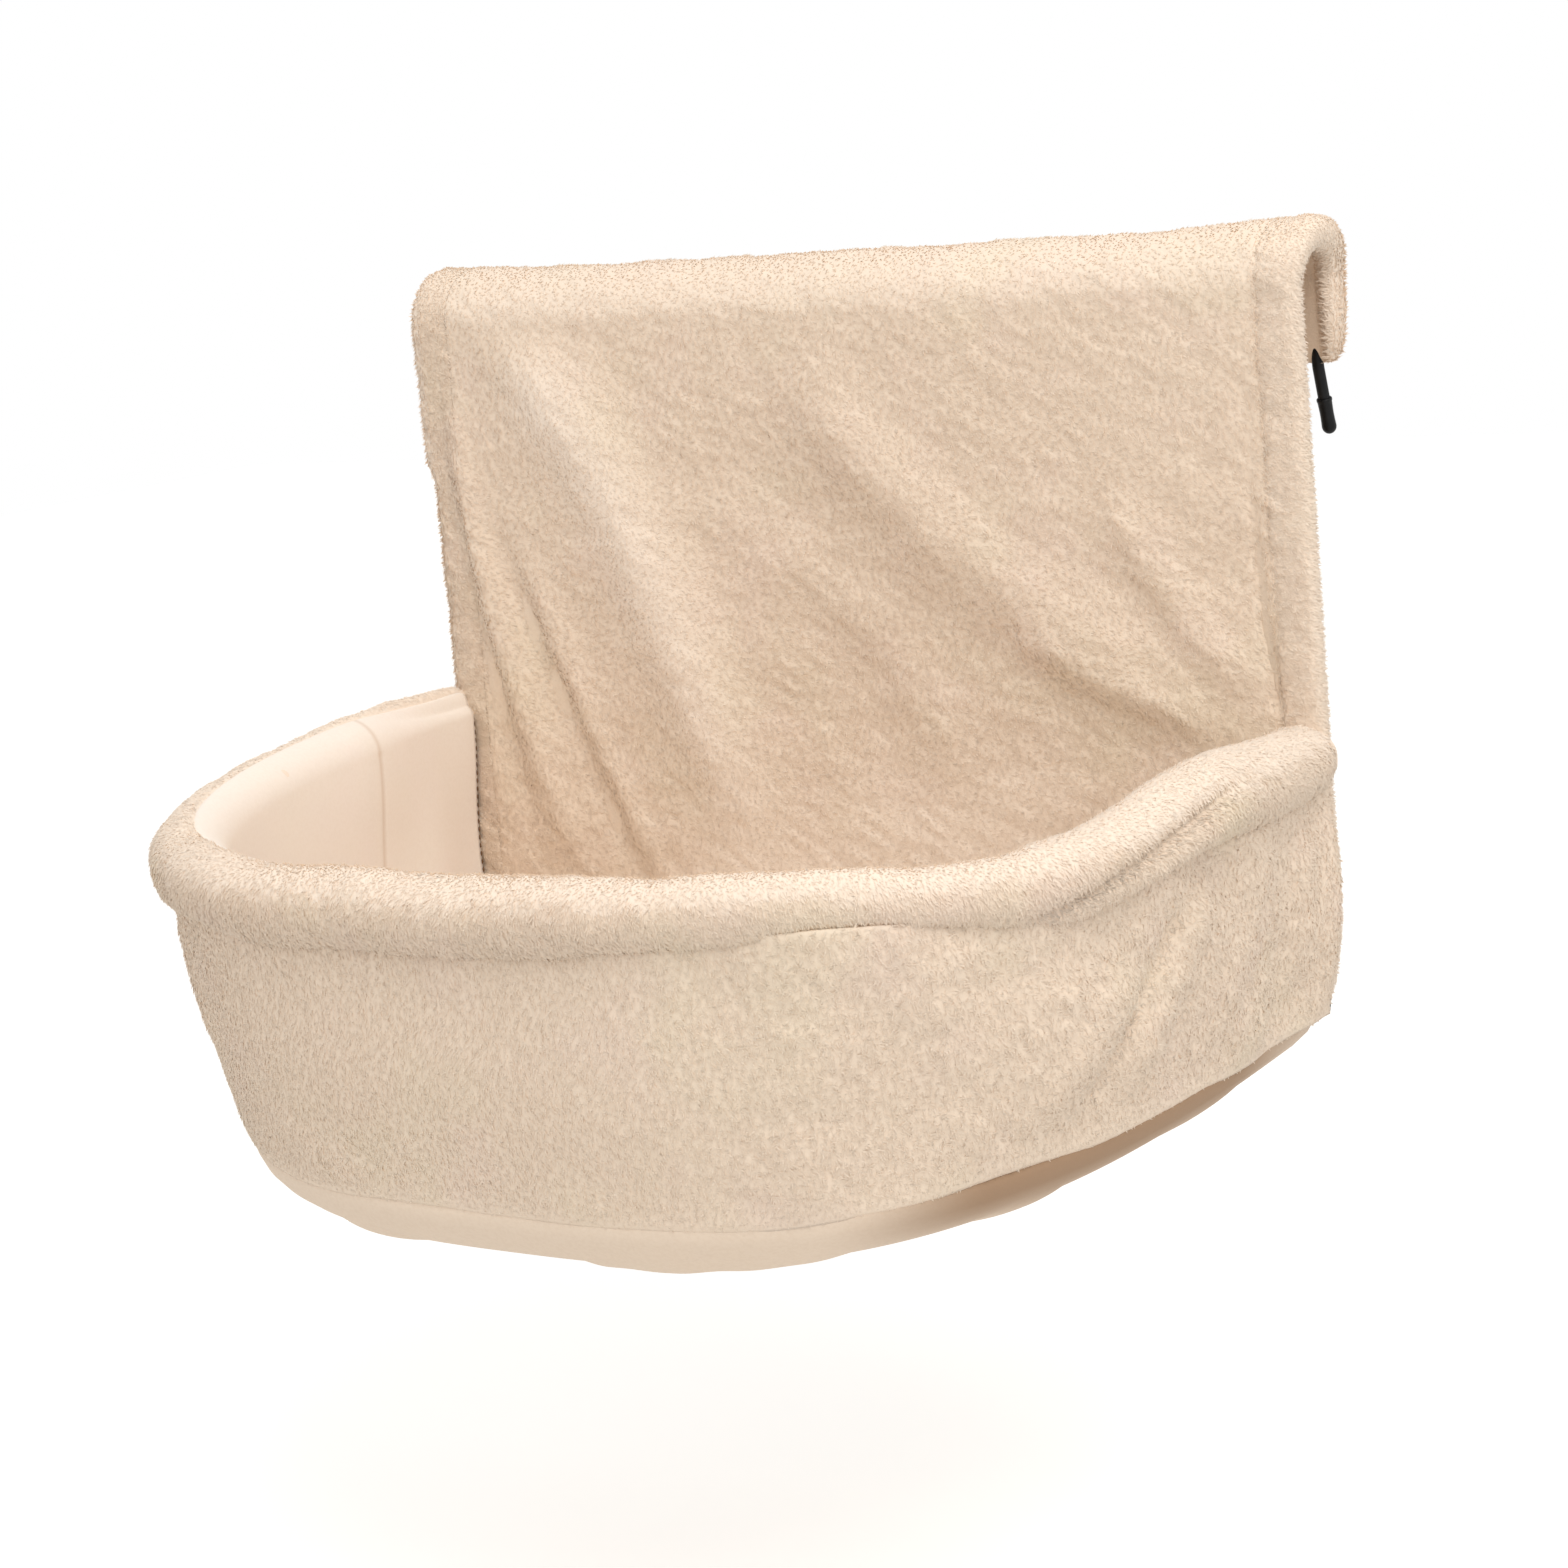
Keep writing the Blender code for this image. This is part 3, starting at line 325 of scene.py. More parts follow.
def loft(rings):
    """Points, faces and a flat map of a closed form made of rings that follow one another.

    Quads join each ring to the next all the way round, and one flat face closes each end. Where an end ring
    is a single place, its face is left out and its points are one. The faces are turned to point outwards.
    """
    count, around = rings.shape[:2]
    points = rings.reshape(-1, 3)
    at = np.arange(count * around).reshape(count, around)
    pole = [bool(np.ptp(rings[end], axis=0).max() < 1e-9) for end in (0, -1)]
    for end, row in zip(pole, (0, -1)):
        if end:
            at[row] = at[row, 0]
    beside = np.roll(at, -1, axis=1)
    quads = np.stack([at[:-1], beside[:-1], beside[1:], at[1:]], axis=-1).reshape(-1, 4)
    row, column = np.meshgrid(np.arange(count - 1), np.arange(around), indexing="ij")
    corner = np.stack([
        np.stack([row, column], -1), np.stack([row, column + 1], -1),
        np.stack([row + 1, column + 1], -1), np.stack([row + 1, column], -1),
    ], axis=2).reshape(-1, 4, 2) / (count - 1, around) * (0.97, 1.0)
    faces, flat = quads.tolist(), corner.reshape(-1, 2).tolist()
    if any(pole):
        lists, faces, flat = faces, [], []
        for face, spots in zip(lists, corner.tolist()):
            keep = [i for i in range(4) if face[i] != face[i - 1]]
            faces.append([face[i] for i in keep])
            flat += [spots[i] for i in keep]
    turn = np.linspace(0.0, 2.0 * math.pi, around, endpoint=False)
    for end, row, step, middle in zip(pole, (0, -1), (-1, 1), (0.25, 0.75)):
        if not end:
            faces.append(at[row][::step].tolist())
            flat += np.stack([0.985 + 0.01 * np.cos(turn), middle + 0.01 * np.sin(turn)], -1).tolist()
    middle = points.mean(axis=0)
    volume = 0.0
    near = points - middle
    for a, b, c in ((0, 1, 2), (0, 2, 3)):
        volume += np.einsum("ij,ij->", near[quads[:, a]], np.cross(near[quads[:, b]], near[quads[:, c]]))
    for end, row, sign in zip(pole, (0, -1), (-1, 1)):
        if not end:
            ring = near[at[row]]
            volume += sign * np.einsum("j,ij->", ring[0], np.cross(ring[:-1], ring[1:]))
    if volume < 0:
        ends = np.cumsum([0] + [len(face) for face in faces])
        flat = [spot for i in range(len(faces)) for spot in flat[ends[i]:ends[i + 1]][::-1]]
        faces = [face[::-1] for face in faces]
    used = np.zeros(len(points), bool)
    used[[i for face in faces for i in face] if any(pole) else at.ravel()] = True
    place = np.cumsum(used) - 1
    if not used.all():
        faces = [[int(place[i]) for i in face] for face in faces]
    return points[used], faces, flat


def put(name, made, material, body="root", replaces=(), normals=None, sharp=None):
    """Makes a piece of points, faces and map, smooth shaded, in this material, that rides on its body."""
    points, faces, flat = made
    mesh = bpy.data.meshes.new(name)
    mesh.from_pydata(np.asarray(points).tolist(), [], faces)
    if flat is not None:
        mesh.uv_layers.new(name="OFBake").data.foreach_set("uv", np.asarray(flat, np.float32).ravel())
    mesh.shade_smooth()
    if sharp is not None:
        mesh.set_sharp_from_angle(angle=math.radians(sharp))
    if normals is not None:
        mesh.normals_split_custom_set(normals.tolist())
    mesh.materials.append(material)
    piece = bpy.data.objects.new(name, mesh)
    bpy.context.scene.collection.objects.link(piece)
    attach(piece, body)
    if replaces:
        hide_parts(*replaces)
    return piece


def between(front, behind):
    """Rings of a sheet or slab: across its front, then back across behind it, at every station."""
    return np.concatenate([front, behind[:, ::-1]], axis=1)


def group(name, inputs, outputs):
    """A shader node group with these named sockets, its input and output nodes ready to be wired."""
    tree = bpy.data.node_groups.new(name, "ShaderNodeTree")
    kinds = {"Colour": "NodeSocketColor", "Vector": "NodeSocketVector"}
    for socket, default in inputs.items():
        made = tree.interface.new_socket(
            socket, in_out="INPUT", socket_type=kinds.get(socket.split()[-1], "NodeSocketFloat")
        )
        if default is not None:
            made.default_value = default
    for socket in outputs:
        tree.interface.new_socket(
            socket, in_out="OUTPUT", socket_type=kinds.get(socket.split()[-1], "NodeSocketFloat")
        )
    return tree, tree.nodes.new("NodeGroupInput"), tree.nodes.new("NodeGroupOutput")


def noise(tree, vector, scale, detail=3.0, roughness=0.5):
    """A noise texture's value at this scale, in cells per metre."""
    node = tree.nodes.new("ShaderNodeTexNoise")
    node.inputs["Scale"].default_value = scale
    node.inputs["Detail"].default_value = detail
    node.inputs["Roughness"].default_value = roughness
    tree.links.new(vector, node.inputs["Vector"])
    return node.outputs["Fac"]


def stretch(tree, value, low, high, new_low=0.0, new_high=1.0):
    """The value carried from one range to another and held there."""
    node = tree.nodes.new("ShaderNodeMapRange")
    for socket, number in zip(("From Min", "From Max", "To Min", "To Max"), (low, high, new_low, new_high)):
        node.inputs[socket].default_value = number
    tree.links.new(value, node.inputs["Value"])
    return node.outputs["Result"]


def blend_colour(tree, mask, first, second):
    """The first colour where the mask is 0 and the second where it is 1; each is a socket or a colour."""
    node = tree.nodes.new("ShaderNodeMix")
    node.data_type = "RGBA"
    if isinstance(mask, float):
        node.inputs["Factor"].default_value = mask
    else:
        tree.links.new(mask, node.inputs["Factor"])
    for socket, colour in zip(("A", "B"), (first, second)):
        place = next(s for s in node.inputs if s.name == socket and s.type == "RGBA")
        if isinstance(colour, tuple):
            place.default_value = (*colour, 1.0)
        else:
            tree.links.new(colour, place)
    return next(s for s in node.outputs if s.type == "RGBA")


def kept(tree, name):
    """The number that a piece stores at its points under this name."""
    node = tree.nodes.new("ShaderNodeAttribute")
    node.attribute_name = name
    return node.outputs["Fac"]


def rough_up(tree, shader, height, rise, strength=1.0):
    """Gives a shader a fine uneven surface, this high, from a value."""
    lumps = tree.nodes.new("ShaderNodeBump")
    lumps.inputs["Distance"].default_value = rise
    lumps.inputs["Strength"].default_value = strength
    tree.links.new(height, lumps.inputs["Height"])
    tree.links.new(lumps.outputs["Normal"], shader.inputs["Normal"])


def soft_gloss(shader, gloss, sheen, spread):
    """A cloth's faint gloss and the warm sheen of its fibres."""
    shader.inputs["Specular IOR Level"].default_value = gloss
    shader.inputs["Sheen Weight"].default_value = sheen
    shader.inputs["Sheen Roughness"].default_value = spread
    shader.inputs["Sheen Tint"].default_value = (1.0, 0.93, 0.85, 1.0)


# The dye takes unevenly: broad patches drift a little towards pink and towards green-beige
patches, enter, leave = group(
    "dye_patches",
    {"Base Colour": None, "Pink Colour": None, "Olive Colour": None, "Place Vector": None, "Strength": 1.0},
    ("Dyed Colour",),
)
warm = stretch(patches, noise(patches, enter.outputs["Place Vector"], 26.0, 2.0), 0.50, 0.72)
cool = stretch(patches, noise(patches, enter.outputs["Place Vector"], 17.0, 2.0), 0.52, 0.74)
warm = combined(patches, "MULTIPLY", warm, enter.outputs["Strength"])
cool = combined(patches, "MULTIPLY", cool, enter.outputs["Strength"])
pinker = blend_colour(patches, warm, enter.outputs["Base Colour"], enter.outputs["Pink Colour"])
dyed = blend_colour(patches, cool, pinker, enter.outputs["Olive Colour"])
patches.links.new(dyed, leave.inputs["Dyed Colour"])

# Brushed fibre: fine random nap, drawn out along one axis, as a height for a bump
nap, enter, leave = group(
    "brushed_nap", {"Place Vector": None, "Fineness": 900.0}, ("Nap Height", "Fleck Mask")
)
scaled = nap.nodes.new("ShaderNodeVectorMath")
scaled.operation = "SCALE"
nap.links.new(enter.outputs["Place Vector"], scaled.inputs[0])
nap.links.new(enter.outputs["Fineness"], scaled.inputs["Scale"])
nap.links.new(noise(nap, scaled.outputs["Vector"], 1.0, 4.0, 0.6), leave.inputs["Nap Height"])
nap.links.new(
    stretch(nap, noise(nap, scaled.outputs["Vector"], 0.45, 2.0), 0.42, 0.62), leave.inputs["Fleck Mask"]
)

PLUSH_COLOUR = (0.860, 0.716, 0.578)
PLUSH_PINK = (0.875, 0.720, 0.600)
PLUSH_OLIVE = (0.845, 0.728, 0.568)
PLUSH_DARK_AND_ROOT_SHADE = (0.76, 0.59, 0.45)
# The pale colour is a painted highlight where the pale mark is set, and the lighter end of each tuft's random
# tint
PLUSH_PALE_AND_HIGHLIGHT = (0.945, 0.815, 0.690)


def use(tree, grouped, **values):
    """Places a node group in a material with its own values, by socket name with _ for a space."""
    node = tree.nodes.new("ShaderNodeGroup")
    node.node_tree = grouped
    for socket, value in values.items():
        place = node.inputs[socket.replace("_", " ")]
        if isinstance(value, bpy.types.NodeSocket):
            tree.links.new(value, place)
        else:
            place.default_value = (*value, 1.0) if isinstance(value, tuple) else value
    return node


def cloth(name, base, pink, olive, fleck, sheen, bump, fineness, patchiness=0.6, marks=()):
    """A fibre material: dyed patches, darker flecks between the fibres, a fine nap and a soft sheen.

    Each mark is a point attribute and the colour that its value mixes in, such as painted highlights and
    painted shade.
    """
    material, tree, shader = new_material(name)
    place = tree.nodes.new("ShaderNodeTexCoord").outputs["Object"]
    dye = use(
        tree, patches, Base_Colour=base, Pink_Colour=pink, Olive_Colour=olive, Place_Vector=place,
        Strength=patchiness,
    )
    brushed = use(tree, nap, Place_Vector=place, Fineness=fineness)
    fine = combined(tree, "MULTIPLY", brushed.outputs["Fleck Mask"], 0.16)
    colour = blend_colour(tree, fine, dye.outputs["Dyed Colour"], fleck)
    for attribute, mixed_in in marks:
        colour = blend_colour(tree, kept(tree, attribute), colour, mixed_in)
    tree.links.new(colour, shader.inputs["Base Color"])
    rough = stretch(tree, brushed.outputs["Nap Height"], 0.2, 0.8, 0.86, 1.0)
    tree.links.new(rough, shader.inputs["Roughness"])
    rough_up(tree, shader, brushed.outputs["Nap Height"], bump, 0.6)
    soft_gloss(shader, 0.15, sheen, 0.45)
    return material


def mark(piece, name, values):
    """Stores one number for each point of a piece, for its material to read."""
    values = np.asarray(values, np.float32).ravel()
    piece.data.attributes.new(name, "FLOAT", "POINT").data.foreach_set("value", values)


plush_ground = cloth(
    "plush_ground", PLUSH_COLOUR, PLUSH_PINK, PLUSH_OLIVE, PLUSH_DARK_AND_ROOT_SHADE, 0.18, 0.0006, 620.0,
    marks=(("pale", PLUSH_PALE_AND_HIGHLIGHT), ("bare", (0.82, 0.67, 0.53))),
)
across = np.linspace(-FIELD_X, FIELD_X, PANEL_ACROSS)
behind = np.linspace(-FIELD_X, FIELD_X, PANEL_BEHIND)
station = np.linspace(0.0, HOOK_RUN, PANEL_ALONG)
panel_grid = panel_face(across[None, :], station[:, None])
level = PANEL_FOOT + np.minimum(station, FRONT_RUN)[:, None] + 0.0 * across
painted_highlight_mask = folds(across[None, :] + 0.0 * level, -level, PAINTED_HIGHLIGHT_PLACES, HALF_W, -PANEL_FOOT)
# Painted highlight: the plush over the bend's top and at the highlight places is painted pale where the lamp
# lights it
panel_painted_highlight = np.clip(
    smooth(station, FRONT_RUN - 0.010, FRONT_RUN + 0.010)[:, None] * BEND_PAINTED_HIGHLIGHT + painted_highlight_mask, 0.0, 1.0
)
panel_plush = put(
    "panel_plush", loft(between(panel_grid, panel_back(behind[None, :], station[:, None]))),
    plush_ground, replaces=("panel_fleece", "flap_fleece"),
)
mark(panel_plush, "pale", np.concatenate([panel_painted_highlight, np.zeros((PANEL_ALONG, PANEL_BEHIND))], axis=1))

# Panel pile. The pile of that plush: short soft tufts that the brush laid down to the right, each a flat
# tapering lock of fibres, denser to the eye where a fold turns away.
TUFT_L = 0.0032
TUFT_W = 0.0011
TUFT_T = 0.00028
TUFT_LIFT = math.radians(17)
TUFT_SINK = 0.0004
SWIRL = math.radians(26)
SWIRL_SIZE = 0.034
STRAY = math.radians(24)
NORMAL_KEEP = 0.84
LOCK_SCALE = (210.0, 210.0, 480.0)
LOCK_RISE = 0.0009
PANEL_TUFTS = 49500
FLAP_TUFTS = 20000


def pile(grid, comb, count, seed, length=TUFT_L, mask=None, pale=0.0, stray=STRAY, wrap=False):
    """Points, faces, map, normals, tints and painted highlight shares of a pile of tufts over a grid of
    surface points.

    Tufts are sown evenly by area. Each is a flat four-sided lock whose root is a triangle in the cloth and
    whose tip lies a tuft's length away, along the comb direction and a little up. The comb is an angle from
    the grid's columns towards its rows, in radians, turned by slow swirls and a little at random.
    """
    draw = np.random.default_rng(seed)
    if wrap:
        grid = np.concatenate([grid, grid[:, :1]], axis=1)
    down = grid[1:, :-1] - grid[:-1, :-1]
    side = grid[:-1, 1:] - grid[:-1, :-1]
    facing = np.cross(side, down)
    area = np.linalg.norm(facing, axis=2)
    if mask is not None:
        area = area * mask[:-1, : area.shape[1]]
    chosen = np.interp(
        (np.arange(count) + draw.random(count)) / count * area.sum(),
        np.concatenate([[0.0], np.cumsum(area.ravel())]), np.arange(area.size + 1),
    )
    cell = np.minimum(chosen.astype(int), area.size - 1)
    row, column = np.divmod(cell, area.shape[1])
    p, q = draw.random(count)[:, None], draw.random(count)[:, None]
    corner = grid[row, column]
    root = corner + side[row, column] * p + down[row, column] * q
    root += (grid[row + 1, column + 1] - corner - side[row, column] - down[row, column]) * p * q

    def unit(v):
        """The vectors, each drawn to a length of 1."""
        return v / np.maximum(np.linalg.norm(v, axis=-1, keepdims=True), 1e-12)

    normal = unit(facing)
    wide = np.pad(normal, ((3, 3), (3, 3), (0, 0)), mode="wrap" if wrap else "edge")
    rows, columns = normal.shape[:2]
    soft_normal = unit(sum(
        wide[a:a + rows, b:b + columns] for a in (0, 3, 6) for b in (0, 3, 6)
    ))[row, column]
    normal = normal[row, column]
    ahead = unit(side[row, column])
    aside = unit(np.cross(normal, ahead))
    angle = comb[row, column] if np.ndim(comb) else comb
    stray = stray[row, column] if np.ndim(stray) else stray
    angle = angle + SWIRL * cloud(root, SWIRL_SIZE, seed) + stray * draw.standard_normal(count)
    angle = angle[:, None]
    lay = np.cos(angle) * ahead + np.sin(angle) * aside
    flank = np.cross(normal, lay)
    lift = TUFT_LIFT * (0.6 + 0.8 * draw.random(count))[:, None]
    size = (0.72 + 0.5 * draw.random(count))[:, None]
    half = TUFT_W / 2 * (0.75 + 0.6 * draw.random(count))[:, None]
    long = (length[row, column][:, None] if np.ndim(length) else length) * size
    sunk = root - normal * TUFT_SINK
    tip = root + lay * long * np.cos(lift) + normal * long * np.sin(lift)
    points = np.stack([
        sunk + flank * half, sunk - flank * half,
        root + normal * TUFT_T + lay * long * 0.25, tip,
    ], axis=1)
    start = np.arange(count)[:, None, None] * 4
    faces = (start + np.array([[0, 1, 2], [1, 3, 2], [3, 0, 2], [0, 3, 1]])).reshape(-1, 3)
    sides = points[:, [[0, 1, 2], [1, 3, 2], [3, 0, 2], [0, 3, 1]]]
    own = unit(np.cross(sides[:, :, 1] - sides[:, :, 0], sides[:, :, 2] - sides[:, :, 0]))
    kept = np.array([NORMAL_KEEP, NORMAL_KEEP, NORMAL_KEEP, 0.0])[:, None]
    normals = np.repeat(unit(own * (1 - kept) + soft_normal[:, None] * kept), 3, axis=1)
    tint = np.repeat(draw.standard_normal(count), 4)
    cells = math.ceil(math.sqrt(count))
    spot = np.stack(np.divmod(np.arange(count), cells), axis=-1) / cells
    middle = np.array([0.5, 0.5])
    square = np.array([[0.06, 0.06], [0.94, 0.06], [0.94, 0.94], [0.06, 0.94]])
    quarter = np.stack([
        np.stack([square[i], square[(i + 1) % 4], middle + 0.04 * (square[i] + square[(i + 1) % 4] - 1.0)])
        for i in range(4)
    ])
    flat = (spot[:, None, None] + quarter / cells).reshape(-1, 2)
    pale = np.repeat(pale[row, column] if np.ndim(pale) else np.full(count, pale), 4)
    return (points.reshape(-1, 3), faces.tolist(), flat), normals.reshape(-1, 3), tint, pale


def put_pile(name, grown, material):
    """Makes a piece of a pile, with each tuft's tint and how far each point is towards its tip."""
    made, normals, tint, pale = grown
    piece = put(name, made, material, normals=normals)
    mark(piece, "tint", tint)
    mark(piece, "pale", pale)
    mark(piece, "reach", np.tile((0.0, 0.0, 0.45, 1.0), len(tint) // 4))
    return piece


def tuft_material(name, base, pink, olive, root, painted_light_and_tone, sheen):
    """Pile fibres: dyed patches, a tint for each tuft, paler tips over roots darkened as painted shade, and
    painted highlights.
    """
    material, tree, shader = new_material(name)
    place = tree.nodes.new("ShaderNodeTexCoord").outputs["Object"]
    dye = use(
        tree, patches, Base_Colour=base, Pink_Colour=pink, Olive_Colour=olive, Place_Vector=place,
        Strength=0.7,
    )
    tint, reach = kept(tree, "tint"), kept(tree, "reach")
    light = stretch(tree, tint, 0.0, 2.4, 0.0, 0.24)
    dark = stretch(tree, tint, 0.0, -2.4, 0.0, 0.20)
    colour = blend_colour(tree, light, dye.outputs["Dyed Colour"], painted_light_and_tone)
    colour = blend_colour(tree, dark, colour, root)
    colour = blend_colour(tree, kept(tree, "pale"), colour, painted_light_and_tone)
    # Painted shade: each tuft's root is darkened towards the root colour, for the shade down among the fibres
    colour = blend_colour(tree, stretch(tree, reach, 0.0, 0.55, 0.12, 0.0), colour, root)
    tree.links.new(colour, shader.inputs["Base Color"])
    tree.links.new(stretch(tree, reach, 0.0, 1.0, 1.0, 0.86), shader.inputs["Roughness"])
    stroke = tree.nodes.new("ShaderNodeVectorMath")
    stroke.operation = "MULTIPLY"
    stroke.inputs[1].default_value = LOCK_SCALE
    tree.links.new(place, stroke.inputs[0])
    rough_up(tree, shader, noise(tree, stroke.outputs[0], 1.0, 3.0, 0.55), LOCK_RISE)
    soft_gloss(shader, 0.12, sheen, 0.5)
    return material


plush_tufts = tuft_material(
    "plush_tufts", PLUSH_COLOUR, PLUSH_PINK, PLUSH_OLIVE, PLUSH_DARK_AND_ROOT_SHADE, PLUSH_PALE_AND_HIGHLIGHT, 0.20
)
half_way = int(PANEL_ALONG * (FRONT_RUN + 0.55 * BEND_RUN) / HOOK_RUN)
panel_length = TUFT_L * (1.0 - 0.25 * np.maximum(painted_highlight_mask, np.sin(bend_angle(station))[:, None]))
for name, rows, comb, count, seed in (
    ("panel_pile", slice(0, half_way), PANEL_COMB, PANEL_TUFTS, 11),
    ("flap_pile", slice(half_way - 1, None), -PANEL_COMB, FLAP_TUFTS, 12),
):
    grown = pile(panel_grid[rows], comb, count, seed, length=panel_length[rows], pale=panel_painted_highlight[rows])
    put_pile(name, grown, plush_tufts)

# Quilting. A layer of loose white wadding lies between the plush and the hook's lining, with the frame's two
# bars through it. The plush presses it flatter than its own folds.
FIT_GAP = 0.0003
LINING_T = 0.0012
QUILT_ACROSS = 46
QUILT_ALONG = 90
QUILT_FOOT = 0.006
QUILT_REAR = 0.002
QUILT_ROOM = 0.0012


def fibre_fill(name, base, fineness, bump):
    """Loose white or foam filling: a plain pale colour with a coarse fibrous or cellular surface."""
    return cloth(name, base, base, base, tuple(0.8 * c for c in base), 0.05, bump, fineness, 0.0)


wadding = fibre_fill("fibre_wadding", (0.86, 0.86, 0.84), 300.0, 0.0012)
across = np.linspace(-FIELD_X, FIELD_X, QUILT_ACROSS)[None, :]
station = np.linspace(QUILT_FOOT, HOOK_RUN - QUILT_REAR, QUILT_ALONG)[:, None]
relief = panel_relief(across, PANEL_FOOT + np.minimum(station, FRONT_RUN))
over_fill = FACE_R - PLUSH_T - FIT_GAP + np.minimum(PRESSED * relief, relief - QUILT_ROOM)
over_fill = over_fill - bend_sag(across) * np.sin(bend_angle(station))
quilt = between(
    over_hook(across, station, over_fill),
    over_hook(across, station, np.full(over_fill.shape, SEAT_R + LINING_T + FIT_GAP)),
)
quilt = put(
    "quilt_wadding", loft(quilt), wadding, replaces=("panel_wadding", "flap_wadding"),
    sharp=40,
)

# Hook lining. The side that lies on the radiator is one length of smooth brushed cloth, up the panel's back,
# round the seat and down inside the flap, sewn in at the hems. It lies a little loose and ripples softly.
LINING_ACROSS = 150
LINING_ALONG = 170
RIPPLE = 0.00035
RIPPLE_SIZE = 0.030
# The lining's tan is darkened as painted shade, for the shadow inside the hook
HOOK_COLOUR_WITH_PAINTED_SHADE = (0.59, 0.425, 0.30)
HOOK_SHADE = (0.50, 0.345, 0.235)
hook_suede_painted_shade = cloth("hook_suede_painted_shade", HOOK_COLOUR_WITH_PAINTED_SHADE, HOOK_COLOUR_WITH_PAINTED_SHADE, HOOK_COLOUR_WITH_PAINTED_SHADE, HOOK_SHADE, 0.10, 0.00018, 1500.0)
across = np.linspace(-FIELD_X, FIELD_X, LINING_ACROSS)[None, :]
station = np.linspace(0.0, HOOK_RUN, LINING_ALONG)[:, None]
across, station = np.broadcast_arrays(across, station)
ripple = RIPPLE * cloud(np.stack([across, station], axis=-1), RIPPLE_SIZE, 31)
hook_lining = put(
    "hook_lining", loft(between(
        over_hook(across, station, SEAT_R + LINING_T + np.minimum(ripple, FIT_GAP / 2)),
        over_hook(across, station, SEAT_R + np.maximum(ripple, 0.0)),
    )), hook_suede_painted_shade, replaces=("panel_lining", "flap_lining"),
)

# Hems. Each side edge is a sleeve of the same plush, folded over and sewn down, that holds a hook rod in
# front, over the bend and down behind, and one end of the hoop. Its inner face is bare brushed cloth, and its
# ends are turned in. It fills out over the bend, and the left one also where the flap's turned end lies.
HEM_INNER_POWER = 5.0
HEM_OUTER_POWER = 3.4
HEM_OVERLAP = 0.0030
HEM_AROUND = 64
HEM_ALONG = 420
HEM_PUFF = 0.0042
HEM_PUFF_FOOT = -0.084
HEM_BALL = 0.0046
HEM_LIP = 0.0036
HEM_TUFTS = 14000
HEM_FOOT_L = 0.014
HEM_REAR_L = 0.024
HEM_END_SHARE = 0.22
HEM_DRAWN_IN = 0.0060
HEM_DRAWN_L = 0.040


def superellipse(turn, power):
    """Cosine and sine of a turn, squared off by a power: 2 is a circle, more is nearer to a rectangle."""
    cosine, sine = np.cos(turn), np.sin(turn)
    return (
        np.sign(cosine) * np.abs(cosine) ** (2.0 / power), np.sign(sine) * np.abs(sine) ** (2.0 / power)
    )


def even_section(around, half_w, half_t):
    """Turns of a hem's section whose points lie evenly along it, square inside and round outside."""
    fine = np.linspace(0.0, 2.0 * math.pi, 4001)
    out, thick = superellipse(fine, np.where(np.cos(fine) < 0, HEM_INNER_POWER, HEM_OUTER_POWER))
    run = np.concatenate([[0.0], np.cumsum(np.hypot(np.diff(out) * half_w, np.diff(thick) * half_t))])
    place = np.linspace(0.0, run[-1], around, endpoint=False)
    return np.interp(place, run, out)[None, :], np.interp(place, run, thick)[None, :]


def closing(run, length):
    """A share that rises from HEM_END_SHARE to 1 over this run, as a quarter circle does."""
    left = 1.0 - np.clip(run / length, 0.0, 1.0)
    return HEM_END_SHARE + (1.0 - HEM_END_SHARE) * np.sqrt(1.0 - left**2)


